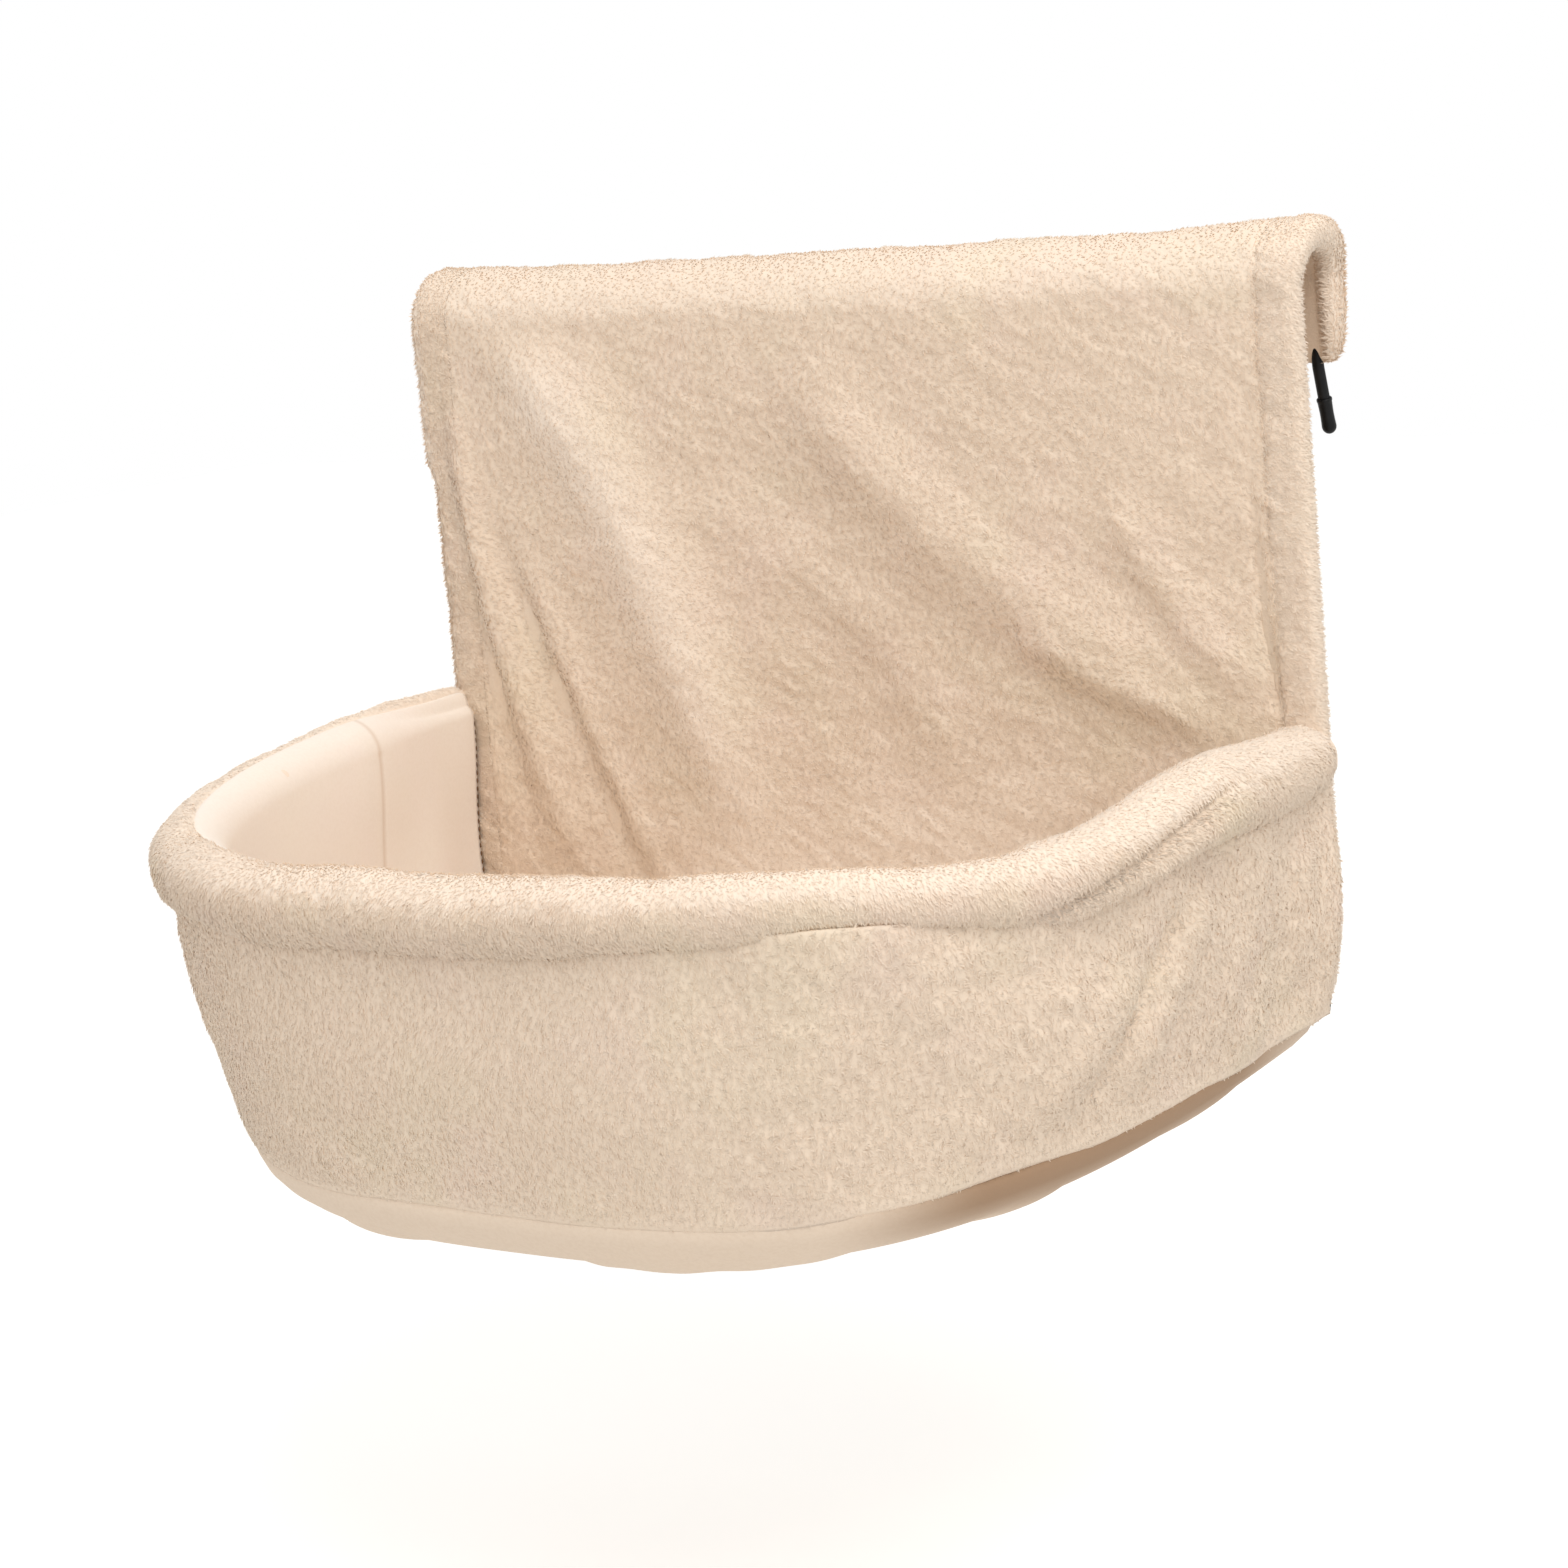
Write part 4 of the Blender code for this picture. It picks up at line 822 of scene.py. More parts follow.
def hem_grid(sign, around, along):
    """A hem's surface: a section square towards the panel and round outside, carried up and over the bend.

    Its bare share is 1 on the inner face, apart from the outer edge, round which the pile is turned.
    """
    run = np.linspace(0.0, HOOK_RUN, along)[:, None]
    half_w = (HALF_W - PILE_ROOM - FIELD_X) / 2
    half_t = (FACE_R - PILE_ROOM - SEAT_R) / 2
    out, thick = even_section(around, half_w, half_t)
    if sign > 0:
        out, thick = out[:, ::-1], thick[:, ::-1]
    z = PANEL_FOOT + np.minimum(run, FRONT_RUN)
    puffed = smooth(z, HEM_PUFF_FOOT - 0.004, HEM_PUFF_FOOT + 0.006) if sign < 0 else 0.0 * run
    ends = closing(run, HEM_FOOT_L) * closing(HOOK_RUN - run, HEM_REAR_L)
    outer = np.maximum(out, 0.0)
    reach = half_w * ends + HEM_PUFF * puffed + HEM_BALL * np.sin(bend_angle(run)) * (1.0 - puffed)
    reach = reach - HEM_DRAWN_IN * (1.0 - smooth(z, PANEL_FOOT - 0.004, PANEL_FOOT + HEM_DRAWN_L))
    x = FIELD_X + half_w + np.minimum(out, 0.0) * (half_w + HEM_OVERLAP) + outer * reach
    front = smooth(thick + 0.0 * run, 0.0, 0.8)
    ruffle = clumps(sign * x, run + 0.0 * x, PANEL_COMB, 3)
    radius = (FACE_R - PILE_ROOM + SEAT_R) / 2 + thick * half_t * ends
    radius = radius + front * (panel_relief(sign * x, z + 0.0 * x) + ruffle)
    radius = radius - bend_sag(x) * np.sin(bend_angle(run)) * front
    behind = smooth(bend_angle(run), 0.6, 2.0) * ends
    radius = radius - HEM_LIP * behind * smooth(out, -0.1, 0.6) * smooth(-thick, 0.2, 0.8)
    bare = smooth(-thick, 0.2, 0.5) * (1.0 - smooth(out, 0.05, 0.35)) + 0.0 * run
    # Painted highlight share: half over the whole right hem, and on the left hem full along its outer edge
    # above the puff's foot
    edge = 0.5 + 0.0 * x
    if sign < 0:
        edge = smooth(out, 0.50, 0.80) * smooth(z, HEM_PUFF_FOOT - 0.02, HEM_PUFF_FOOT)
    return over_hook(sign * x, run + 0.0 * x, radius), bare, edge


def with_poles(values):
    """The rings, or values kept for them, with each end drawn on to one point in its middle."""
    ends = [np.broadcast_to(row.mean(axis=0), row.shape)[None] for row in (values[0], values[-1])]
    return np.concatenate([ends[0], values, ends[1]])


def at_points(values):
    """Values kept for rings with poles, one for each point of their loft."""
    ringed = with_poles(values)
    return np.concatenate([ringed[0, :1], ringed[1:-1].ravel(), ringed[-1, :1]])


for side, sign in (("left", -1.0), ("right", 1.0)):
    grid, bare, edge = hem_grid(sign, HEM_AROUND, HEM_ALONG)
    name = "hem_" + side
    hem = put(name + "_plush", loft(with_poles(grid)), plush_ground, replaces=(name,))
    # Painted highlight: the hem is painted pale over the bend's top and where its painted highlight share is
    # set
    over_bend = np.sin(bend_angle(np.linspace(0.0, HOOK_RUN, HEM_ALONG)))[:, None] + 0.0 * bare
    pale = np.maximum(BEND_PAINTED_HIGHLIGHT * smooth(over_bend, 0.2, 0.8), edge)
    mark(hem, "bare", at_points(bare))
    mark(hem, "pale", at_points(pale))
    grown = pile(
        grid, PANEL_COMB, HEM_TUFTS, 51 + int(sign), length=TUFT_L * (1.0 - 0.4 * over_bend),
        mask=1.0 - bare, pale=pale, wrap=True,
    )
    put_pile(name + "_pile", grown, plush_tufts)

# Rim. A foam tube on the frame's hoop, in a sleeve of the plush, bulges round the basket's mouth. It sinks a
# little to the front. Its right third has slid down on the hoop and is twisted, which pinches it in front and
# leaves a crease along it; the left end is pressed flat against the hem.
hoop_low, hoop_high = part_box("basket_hoop")
rim_low, rim_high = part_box("rim_fleece")
bar_low, bar_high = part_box("top_crossbar")
ROD_R = (bar_high.z - bar_low.z) / 2
RIM_LEVEL = hoop_high.z - ROD_R
RIM_R = rim_high.z - RIM_LEVEL
RIM_HALF = hoop_high.x - ROD_R
BASKET_BACK = -FACE_R - FIT_GAP
RIM_DEPTH = BASKET_BACK - hoop_low.y - ROD_R
RIM_FALL = RIM_LEVEL - RIM_R - rim_low.z
RIM_POWER = 3.4
BOW_SAMPLES = 4000
RIM_ALONG = 430
RIM_AROUND = 80
RIM_TUFTS = 48000
# Along the rim, from its right end: share of its run, how far the roll is lifted, how much it is fuller
RIM_COURSE = (
    (0.000, -0.0084, -0.0010), (0.034, -0.0092, 0.0005), (0.067, -0.0080, 0.0018), (0.101, -0.0065, 0.0020),
    (0.135, -0.0064, 0.0004), (0.169, -0.0092, -0.0014), (0.206, -0.0100, -0.0014), (0.243, -0.0088, -0.0018),
    (0.268, -0.0045, -0.0036), (0.295, 0.0003, -0.0042), (0.325, 0.0040, -0.0038), (0.371, 0.0050, -0.0022),
    (0.405, 0.0045, -0.0012), (0.463, 0.0026, 0.0004), (0.530, 0.0012, 0.0008), (0.640, 0.0, 0.0),
    (1.0, 0.0, 0.0),
)
COURSE_EASE = 0.035
CREASE = ((0.100, 27.0), (0.150, 4.0), (0.190, -14.0), (0.232, -46.0))
CREASE_DEPTH = 0.0044
CREASE_W = 0.0030
TWIST_RISE = 0.0030
TWIST_OFF = 0.008
TWIST_W = 0.007
LINED_SUNK = 0.0008
RIM_SWELL = 0.0011
RIM_SWELL_SIZE = 0.045
PRESSED_FLAT = 0.60
RIM_END = 0.012
RIM_END_SHARE = 0.90
RIM_INTO = 0.011
RIM_INTO_SHARES = (0.35, 0.62, 0.82, 0.94, 1.0)
RIM_TURN_R = 0.016
LINED_FROM = ((0.0, 124.0), (0.60, 124.0), (0.70, 97.0), (1.0, 88.0))
LINED_TO = math.radians(262)


def bow(half, depth, power, back, count):
    """A basket's plan from its right rear end round the front to the left, as evenly spaced points."""
    turn = np.linspace(0.0, math.pi, BOW_SAMPLES)
    out, deep = superellipse(turn, power)
    line = np.stack([half * out, back - depth * deep], axis=1)
    run = np.concatenate([[0.0], np.cumsum(np.linalg.norm(np.diff(line, axis=0), axis=1))])
    places = np.linspace(0.0, run[-1], count)
    return np.stack([np.interp(places, run, line[:, k]) for k in (0, 1)], axis=1)


def outward(plan):
    """Level unit vectors that point out of a plan's line, square to it, and straight sideways at its ends."""
    along = np.gradient(plan, axis=0)
    along[0], along[-1] = (0.0, -1.0), (0.0, 1.0)
    along /= np.linalg.norm(along, axis=1, keepdims=True)
    return np.stack([-along[:, 1], along[:, 0], np.zeros(len(plan))], axis=1)


def rim_course(share, column):
    """One column of the rim's course at these shares, eased by an average under a raised-cosine window."""
    steps = np.linspace(-0.2, 1.2, 1401)
    values = np.interp(steps, [row[0] for row in RIM_COURSE], [row[column] for row in RIM_COURSE])
    window = np.hanning(int(COURSE_EASE * 1000) | 1)
    return np.interp(share, steps, np.convolve(values, window / window.sum(), mode="same"))


def rim_line(count):
    """The rim's centre line and its outward directions. Its height falls with the square of the reach."""
    plan = bow(RIM_HALF, RIM_DEPTH, RIM_POWER, BASKET_BACK, count)
    share = np.linspace(0.0, 1.0, count)
    z = RIM_LEVEL - RIM_FALL * ((BASKET_BACK - plan[:, 1]) / RIM_DEPTH) ** 2 + rim_course(share, 1)
    line = np.column_stack([plan, z])
    length = np.linalg.norm(np.diff(line, axis=0), axis=1).sum()
    return line, outward(plan), share, length


def rim_girth(share, turn, skin):
    """The roll's radius less a skin, by its course, with its inner side pressed flat at the left."""
    inner = smooth(-np.cos(turn), -0.3, 0.6) * smooth(share, 0.89, 0.985)
    left = 1.0 - np.minimum(np.minimum(share, 1.0 - share) / RIM_END, 1.0)
    ends = RIM_END_SHARE + (1.0 - RIM_END_SHARE) * np.sqrt(1.0 - left**2)
    return (RIM_R + rim_course(share, 2)) * ends * (1.0 - PRESSED_FLAT * inner) - skin


def lined_from(share):
    """The turn up to which the lining covers the roll: past its top at the left, short of it elsewhere."""
    return np.radians(np.interp(share, *zip(*LINED_FROM)))


def roll(line, out, turn, radius):
    """Points of a round section carried along a line: out and up by the cosine and sine of the turn."""
    up = np.array([0.0, 0.0, 1.0])
    offset = np.cos(turn)[..., None] * out[:, None] + np.sin(turn)[..., None] * up
    return line[:, None] + radius[..., None] * offset


def into_hems(rings):
    """The rings with a few more at each end, drawn in, which follow the hoop's bend back into the hems."""
    reach = RIM_INTO * np.array(RIM_INTO_SHARES)[:, None, None]
    girth = np.sqrt(1.0 - 0.80 * (reach / RIM_INTO) ** 2)
    shift = np.concatenate([0.0 * reach, reach, -reach**2 / (2 * RIM_TURN_R)], axis=-1)
    ends = []
    for ring in (rings[0], rings[-1]):
        middle = ring.mean(axis=0)
        ends.append(middle + girth * (ring - middle) + shift)
    return np.concatenate([ends[0][::-1], rings, ends[1]])


line, out, share, rim_length = rim_line(RIM_ALONG)
turn = np.linspace(-math.pi, math.pi, RIM_AROUND, endpoint=False)[None, :] + 0.0 * share[:, None]
crease_turn = np.radians(np.interp(share, *zip(*CREASE)))[:, None]
in_crease = (smooth(share, 0.085, 0.125) * (1.0 - smooth(share, 0.215, 0.245)))[:, None]
off_crease = (turn - crease_turn) * RIM_R
places = np.stack(np.broadcast_arrays(share[:, None] * rim_length, turn * RIM_R), axis=-1)
girth = rim_girth(share[:, None], turn, PILE_ROOM)
girth += clumps(places[..., 0], places[..., 1], 1.2, 61)
girth += RIM_SWELL * cloud(places, (RIM_SWELL_SIZE, RIM_SWELL_SIZE / 2), 62)
girth -= in_crease * CREASE_DEPTH * np.exp(-((off_crease / CREASE_W) ** 2))
girth += in_crease * TWIST_RISE * np.exp(-(((off_crease + TWIST_OFF) / TWIST_W) ** 2))
whole = turn % (2 * math.pi)
lining_edge = lined_from(share)[:, None]
lined = smooth(whole, lining_edge, lining_edge + 0.12) * (1.0 - smooth(whole, LINED_TO - 0.15, LINED_TO))
girth -= LINED_SUNK * lined
rim_grid = roll(line, out, turn, girth)
# Painted highlight: the roll's upper half is painted pale, with a ragged edge, where the light from above
# falls on it
shag = 0.22 * cloud(places, (0.006, 0.003), 65)
rim_painted_highlight = 0.9 * smooth(np.sin(turn) + shag, 0.10, 0.62)
rim_plush = put(
    "rim_plush", loft(with_poles(into_hems(rim_grid))), plush_ground, replaces=("rim_fleece",)
)
added = len(RIM_INTO_SHARES)
mark(rim_plush, "pale", at_points(np.pad(rim_painted_highlight, ((added, added), (0, 0)), mode="edge")))
grown = pile(
    rim_grid, math.radians(202), RIM_TUFTS, 63, length=TUFT_L * (1.0 - 0.35 * smooth(np.sin(turn), 0.3, 0.9)),
    mask=1.0 - lined, pale=rim_painted_highlight, wrap=True,
)
put_pile("rim_pile", grown, plush_tufts)

foam = fibre_fill("open_foam", (0.84, 0.80, 0.66), 700.0, 0.0006)
line, out, share, rim_length = rim_line(130)
turn = np.linspace(-math.pi, math.pi, 28, endpoint=False)[None, :] + 0.0 * share[:, None]
girth = rim_girth(share[:, None], turn, PLUSH_T + FIT_GAP + CREASE_DEPTH / 2)
rim_foam = put(
    "rim_foam_tube", loft(roll(line, out, turn, girth)), foam, replaces=("rim_padding",)
)

# Basket wall. A band of the plush, thin wadding and the brushed lining, sewn between rim and base. The wall
# hangs from the rim, leans in a little to the base, and is crumpled at its right front, where one crease cuts
# through it. Its lower edge is gathered onto the base.
wall_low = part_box("wall_fleece")[0]
base_low, base_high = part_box("base_cloth")
BASE_HALF = base_high.x
BASE_DEPTH = BASKET_BACK - base_low.y
SEAM_FALL = PANEL_FOOT - wall_low.z
BASE_POWER = 2.9
WALL_PROUD = 0.007
WALL_BULGE = 0.004
WADDING_T = 0.004
WALL_T = PLUSH_T + FIT_GAP + WADDING_T + FIT_GAP + LINING_T
WALL_LENGTH = 0.914
WALL_ALONG = 470
WALL_DOWN = 80
WALL_BEHIND = 10
WALL_TUFTS = 49500
WALL_TOP_OVER = 0.0072
WALL_TOP_PROUD = 0.0020
WALL_FOOT_OVER = 0.0034
WALL_END_L = 0.045
WALL_END_FOOT = 0.005
WALL_END_BULGE = 0.004
WALL_END_OVER = 0.007
WALL_END_ROWS = 6
WALL_STRAY = math.radians(28)
WALL_DEEPEST = 0.0026
WALL_END_GAP = 0.0006
WALL_CLUMPS = 1.9
CRUMPLE = 0.0038
CRUMPLE_SIZE = (0.034, 0.048)
FINE_CRUMPLE = 0.0008
FINE_CRUMPLE_SIZE = (0.007, 0.006)
GATHER = 0.0009
GATHER_SIZE = (0.026, 0.2)
SCALLOP = 0.0030
SCALLOP_SIZE = 0.055
WALL_BACK_GAP = 0.0010
# Creases as shares of the wall's run and height: start, bend, end, rise in metres, half width in metres
WALL_FOLDS = (
    ((0.136, 0.20), (0.166, 0.50), (0.204, 0.90), -0.0062, 0.0030),
    ((0.112, 0.12), (0.143, 0.48), (0.180, 0.90), 0.0050, 0.0085),
    ((0.168, 0.30), (0.200, 0.60), (0.240, 0.92), 0.0042, 0.0120),
    ((0.060, 0.12), (0.078, 0.45), (0.112, 0.92), 0.0030, 0.0110),
    ((0.020, 0.10), (0.030, 0.50), (0.036, 0.94), 0.0022, 0.0090),
    ((0.250, 0.06), (0.285, 0.30), (0.330, 0.46), 0.0020, 0.0120),
    ((0.705, 0.10), (0.690, 0.30), (0.668, 0.62), 0.0024, 0.0085),
    ((0.735, 0.06), (0.742, 0.16), (0.760, 0.24), 0.0030, 0.0060),
    ((0.620, 0.70), (0.600, 0.85), (0.560, 0.96), 0.0016, 0.0090),
)


def seam_level(y):
    """Height of the seam between wall and base, which falls to the front."""
    return PANEL_FOOT - SEAM_FALL * (BASKET_BACK - y) / BASE_DEPTH


def wall_grid(share, drop, inset):
    """A face of the wall, this far inside its outer face: rim line to base line, with an even bulge.

    Its ends spread outwards by shares of the run, to cover the hems' outer sides.
    """
    top = bow(RIM_HALF + WALL_PROUD, RIM_DEPTH + WALL_PROUD, RIM_POWER, BASKET_BACK, BOW_SAMPLES)
    low = bow(BASE_HALF, BASE_DEPTH, BASE_POWER, BASKET_BACK, BOW_SAMPLES)
    place = np.linspace(0.0, 1.0, BOW_SAMPLES)

    def at(values):
        """A line's values at the shares."""
        return np.stack([np.interp(share, place, values[:, k]) for k in range(values.shape[1])], axis=-1)

    top, top_out, low, low_out = at(top), at(outward(top)), at(low), at(outward(low))
    drop = drop[..., None]
    out = top_out * (1 - drop) + low_out * drop
    out /= np.linalg.norm(out, axis=-1, keepdims=True)
    reach = (BASKET_BACK - top[..., 1]) / RIM_DEPTH
    top_z = RIM_LEVEL - RIM_FALL * reach**2 - RIM_R + rim_course(share, 1)
    top_z = top_z - rim_course(share, 2) + WALL_TOP_OVER
    top = np.concatenate([top, top_z[..., None]], axis=-1)
    low = np.concatenate([low, seam_level(low[..., 1])[..., None]], axis=-1)
    ends = np.maximum(1.0 - share * WALL_LENGTH / WALL_END_L, 1.0 - (1.0 - share) * WALL_LENGTH / WALL_END_L)
    ends = smooth(ends, 0.0, 1.0)
    spread = (HALF_W - RIM_HALF - WALL_PROUD) * (1 - drop[..., 0]) + WALL_END_FOOT * drop[..., 0]
    spread = ends * (spread + WALL_END_BULGE * np.sin(math.pi * drop[..., 0]))
    spread = np.maximum(spread, WALL_TOP_PROUD * (1.0 - smooth(drop[..., 0], 0.0, 0.25)))
    stand = WALL_BULGE * np.sin(math.pi * drop[..., 0]) + spread - inset
    return top * (1 - drop) + low * drop + out * stand[..., None]


def ends_over(face):
    """The face with its rear ends carried on over the hems' outer sides and in to them."""
    step = np.linspace(1.0, 0.0, WALL_END_ROWS + 1)[:-1, None]
    rows = []
    for row in (face[0], face[-1]):
        drawn = HEM_DRAWN_IN * (1.0 - smooth(row[:, 2], PANEL_FOOT - 0.004, PANEL_FOOT + HEM_DRAWN_L))
        target = np.sign(row[:, 0]) * (HALF_W - PILE_ROOM - drawn - WALL_END_GAP)
        rows.append(np.stack([
            row[:, 0] * (1 - step**2) + target * step**2,
            row[:, 1] + WALL_END_OVER * step,
            row[:, 2] + 0.0 * step,
        ], axis=-1))
    return np.concatenate([rows[0], face, rows[1][::-1]])


WALL_TALL = RIM_LEVEL - RIM_R - PANEL_FOOT
share, drop = np.meshgrid(np.linspace(0.0, 1.0, WALL_ALONG), np.linspace(1.0, 0.0, WALL_DOWN), indexing="ij")
right_side = 1.0 - smooth(share, 0.30, 0.42)
places = np.stack([share * WALL_LENGTH, drop * WALL_TALL], axis=-1)
relief = folds(places[..., 0], places[..., 1], WALL_FOLDS, WALL_LENGTH, WALL_TALL)
relief += clumps(places[..., 0], places[..., 1], WALL_CLUMPS, 71) * (0.45 + 1.1 * right_side)
relief += CRUMPLE * right_side * cloud(places, CRUMPLE_SIZE, 72)
relief += FINE_CRUMPLE * right_side * cloud(places, FINE_CRUMPLE_SIZE, 76)
relief += GATHER * smooth(drop, 0.55, 1.0) * cloud(places, GATHER_SIZE, 73)
hold = smooth(share, 0.0, 0.012) * (1.0 - smooth(share, 0.988, 1.0)) * (1.0 - 0.85 * smooth(drop, 0.88, 0.99))
relief = np.maximum(relief, -WALL_DEEPEST * np.tanh(-relief / WALL_DEEPEST))
tuck = 0.0008 * smooth(drop, 0.975, 1.0) + 0.0004 * (1.0 - smooth(drop, 0.0, 0.03))
wall_face = wall_grid(share, drop, PILE_ROOM + tuck - relief * hold)
scallop = SCALLOP * cloud(np.stack([share * WALL_LENGTH, 0.0 * drop], axis=-1), SCALLOP_SIZE, 74)
hold = smooth(share, 0.0, 0.06) * (1.0 - smooth(share, 0.94, 1.0))
wall_face[..., 2] += scallop * smooth(drop, 0.6, 1.0) * hold - WALL_FOOT_OVER * smooth(drop, 0.8, 1.0)
wall_face = ends_over(wall_face)
share, drop = np.meshgrid(
    np.linspace(0.0, 1.0, WALL_ALONG), np.linspace(0.0, 1.0, WALL_BEHIND), indexing="ij"
)
wall_back = ends_over(wall_grid(share, drop, np.full(share.shape, PLUSH_T + WALL_BACK_GAP)))
wall_plush = put(
    "wall_plush", loft(np.concatenate([wall_face, wall_back], axis=1)), plush_ground,
    replaces=("wall_fleece",),
)
right_side = np.pad(right_side, ((WALL_END_ROWS, WALL_END_ROWS), (0, 0)), mode="edge")
near_foot = smooth(np.linspace(1.0, 0.0, WALL_DOWN), 0.90, 0.985)[None, :] + 0.0 * right_side
grown = pile(
    wall_face, math.radians(196), WALL_TUFTS, 75, stray=STRAY + WALL_STRAY * right_side * (1 - near_foot),
    length=TUFT_L * (1.0 - 0.5 * near_foot), mask=1.0 - 0.8 * (near_foot > 0.99),
)
put_pile("wall_pile", grown, plush_tufts)
share, drop = np.meshgrid(np.linspace(0.06, 0.94, 140), np.linspace(1.0, 0.02, 20), indexing="ij")
slab = [wall_grid(share, drop, np.full(share.shape, depth)) for depth in (
    PLUSH_T + WALL_BACK_GAP + FIT_GAP, WALL_T - LINING_T - FIT_GAP
)]
wall_fill = put(
    "wall_padding", loft(between(*slab)), wadding, replaces=("wall_wadding",), sharp=40
)

# Wall lining. Inside, a smooth brushed cloth rises from the base, drapes up to the roll of the rim and over
# it, where it meets the plush. It is pieced at the left, and its rear ends are sewn to the hems.
DRAPE_ROWS = 46
ROLL_ROWS = 30
LINING_ALONG_RUN = 380
SHEET_GAP = 0.0004
PIECING = 0.905
PIECING_W = 0.0012
PIECING_DEPTH = 0.0005
ENDS_OUT = 0.0045
DRAPE_LOW = 0.036
DRAPE_WAVE = 0.0011
DRAPE_WAVE_SIZE = (0.050, 0.050, 0.090)
LINING_TUCK = 0.0016
SUEDE_COLOUR = (0.955, 0.870, 0.790)
SUEDE_PINK = (0.960, 0.865, 0.800)
SUEDE_OLIVE = (0.950, 0.875, 0.785)
SUEDE_SHADE = (0.85, 0.74, 0.64)
suede = cloth("brushed_suede", SUEDE_COLOUR, SUEDE_PINK, SUEDE_OLIVE, SUEDE_SHADE, 0.22, 0.00018, 1500.0,
              marks=(("seam", (0.70, 0.55, 0.43)),))
line, out, share, rim_length = rim_line(LINING_ALONG_RUN)
flared = np.maximum(smooth(share, 0.945, 0.995), 1.0 - smooth(share, 0.005, 0.055))[:, None]
inset = WALL_T * (1.0 - flared) + ENDS_OUT * flared
foot = wall_grid(share[:, None], np.ones_like(inset), np.full_like(inset, WALL_T))
chest = wall_grid(share[:, None], np.full_like(inset, 0.45), inset + 0.002 * (1.0 - flared))


def lining_face(depth):
    """The lining at this depth behind its face: a cubic curve from the base to the roll, then the roll's arc.

    The cubic leaves the base along the wall and arrives straight up at the roll's inner side.
    """
    reach = rim_girth(share[:, None], math.pi + 0.0 * inset, PILE_ROOM) + SHEET_GAP
    shoulder = (line - out * reach)[:, None]
    s = np.linspace(0.0, 1.0, DRAPE_ROWS)[None, :, None]
    first = foot + 0.9 * (chest - foot)
    second = shoulder - np.array([0.0, 0.0, DRAPE_LOW])
    drape = (
        (1 - s) ** 3 * foot + 3 * (1 - s) ** 2 * s * first + 3 * (1 - s) * s**2 * second + s**3 * shoulder
    )
    wave = DRAPE_WAVE * cloud(drape, DRAPE_WAVE_SIZE, 81) * np.sin(math.pi * s[..., 0]) * (1.0 - flared)
    wave = wave - PIECING_DEPTH * np.exp(-(((share[:, None] - PIECING) * rim_length / PIECING_W) ** 2))
    drape = drape + out[:, None] * (depth - wave)[..., None]
    edge = lined_from(share)[:, None]
    turn = math.pi + (edge - math.pi) * np.linspace(0.0, 1.0, ROLL_ROWS)[None, :]
    tucked = LINING_TUCK * smooth(-turn, -edge - 0.16, -edge)
    skin = PILE_ROOM - SHEET_GAP + depth + tucked
    arc = roll(line, out, turn, rim_girth(share[:, None], turn, 0.0) - skin)
    return np.concatenate([drape, arc[:, 1:]], axis=1)


lining_front, lining_rear = lining_face(0.0), lining_face(LINING_T * 0.6)
wall_lining = put(
    "wall_lining_cloth", loft(between(lining_rear, lining_front)), suede,
    replaces=("wall_lining",),
)
pieced = np.exp(-(((share[:, None] - PIECING) * rim_length / PIECING_W) ** 2))
mark(wall_lining, "seam", 0.55 * pieced + np.zeros((1, 2 * lining_front.shape[1])))

# Corner stitching. Dark brown thread, in short stitches that grow towards the base, closes each rear end of
# the lining on its hem.
STITCH_L = 0.0026
STITCH_SUNK = 0.0004
STITCH_PITCH = 0.0040
STITCH_R = (0.00022, 0.00060)
STITCH_TOP = -0.205
STITCH_LOW = -0.312
thread = cloth(
    "dark_thread", (0.20, 0.115, 0.065), (0.22, 0.12, 0.07), (0.18, 0.11, 0.06), (0.10, 0.055, 0.03),
    0.0, 0.0001, 3000.0,
)


def joined(parts, cells, room):
    """Some lofts as one mesh, each in its own cell of the flat map, with cells to a side."""
    points, faces, flat = [], [], []
    for number, (some, sides, spots) in enumerate(parts):
        shift = sum(len(each) for each in points)
        points.append(some)
        faces += [[i + shift for i in side] for side in sides]
        flat.append(np.array(divmod(number, cells)) / cells + np.asarray(spots) * room)
    return np.concatenate(points), faces, np.concatenate(flat)


stitches = []
levels = np.arange(STITCH_TOP, STITCH_LOW, -STITCH_PITCH)
turn = np.linspace(0.0, 2.0 * math.pi, 8, endpoint=False)
cap_turn = np.linspace(0.0, math.pi, 7)
for row, sign in ((0, 1.0), (-1, -1.0)):
    drape = lining_front[row][:DRAPE_ROWS][::-1]
    for level in levels:
        x = np.interp(-level, -drape[:, 2], drape[:, 0])
        grow = (STITCH_TOP - level) / (STITCH_TOP - STITCH_LOW)
        radius = STITCH_R[0] + (STITCH_R[1] - STITCH_R[0]) * grow
        middle = np.array([x - sign * STITCH_SUNK, drape[0, 1] - STITCH_SUNK, level])
        reach = radius * np.sin(cap_turn)[:, None]
        rings = middle + np.stack([
            reach * np.cos(turn), reach * np.sin(turn),
            (STITCH_L / 2) * np.cos(cap_turn)[:, None] + 0.0 * turn,
        ], axis=-1)
        rings[0], rings[-1] = rings[0].mean(axis=0), rings[-1].mean(axis=0)
        stitches.append(loft(rings))
put("corner_stitches", joined(stitches, 8, 0.12), thread)

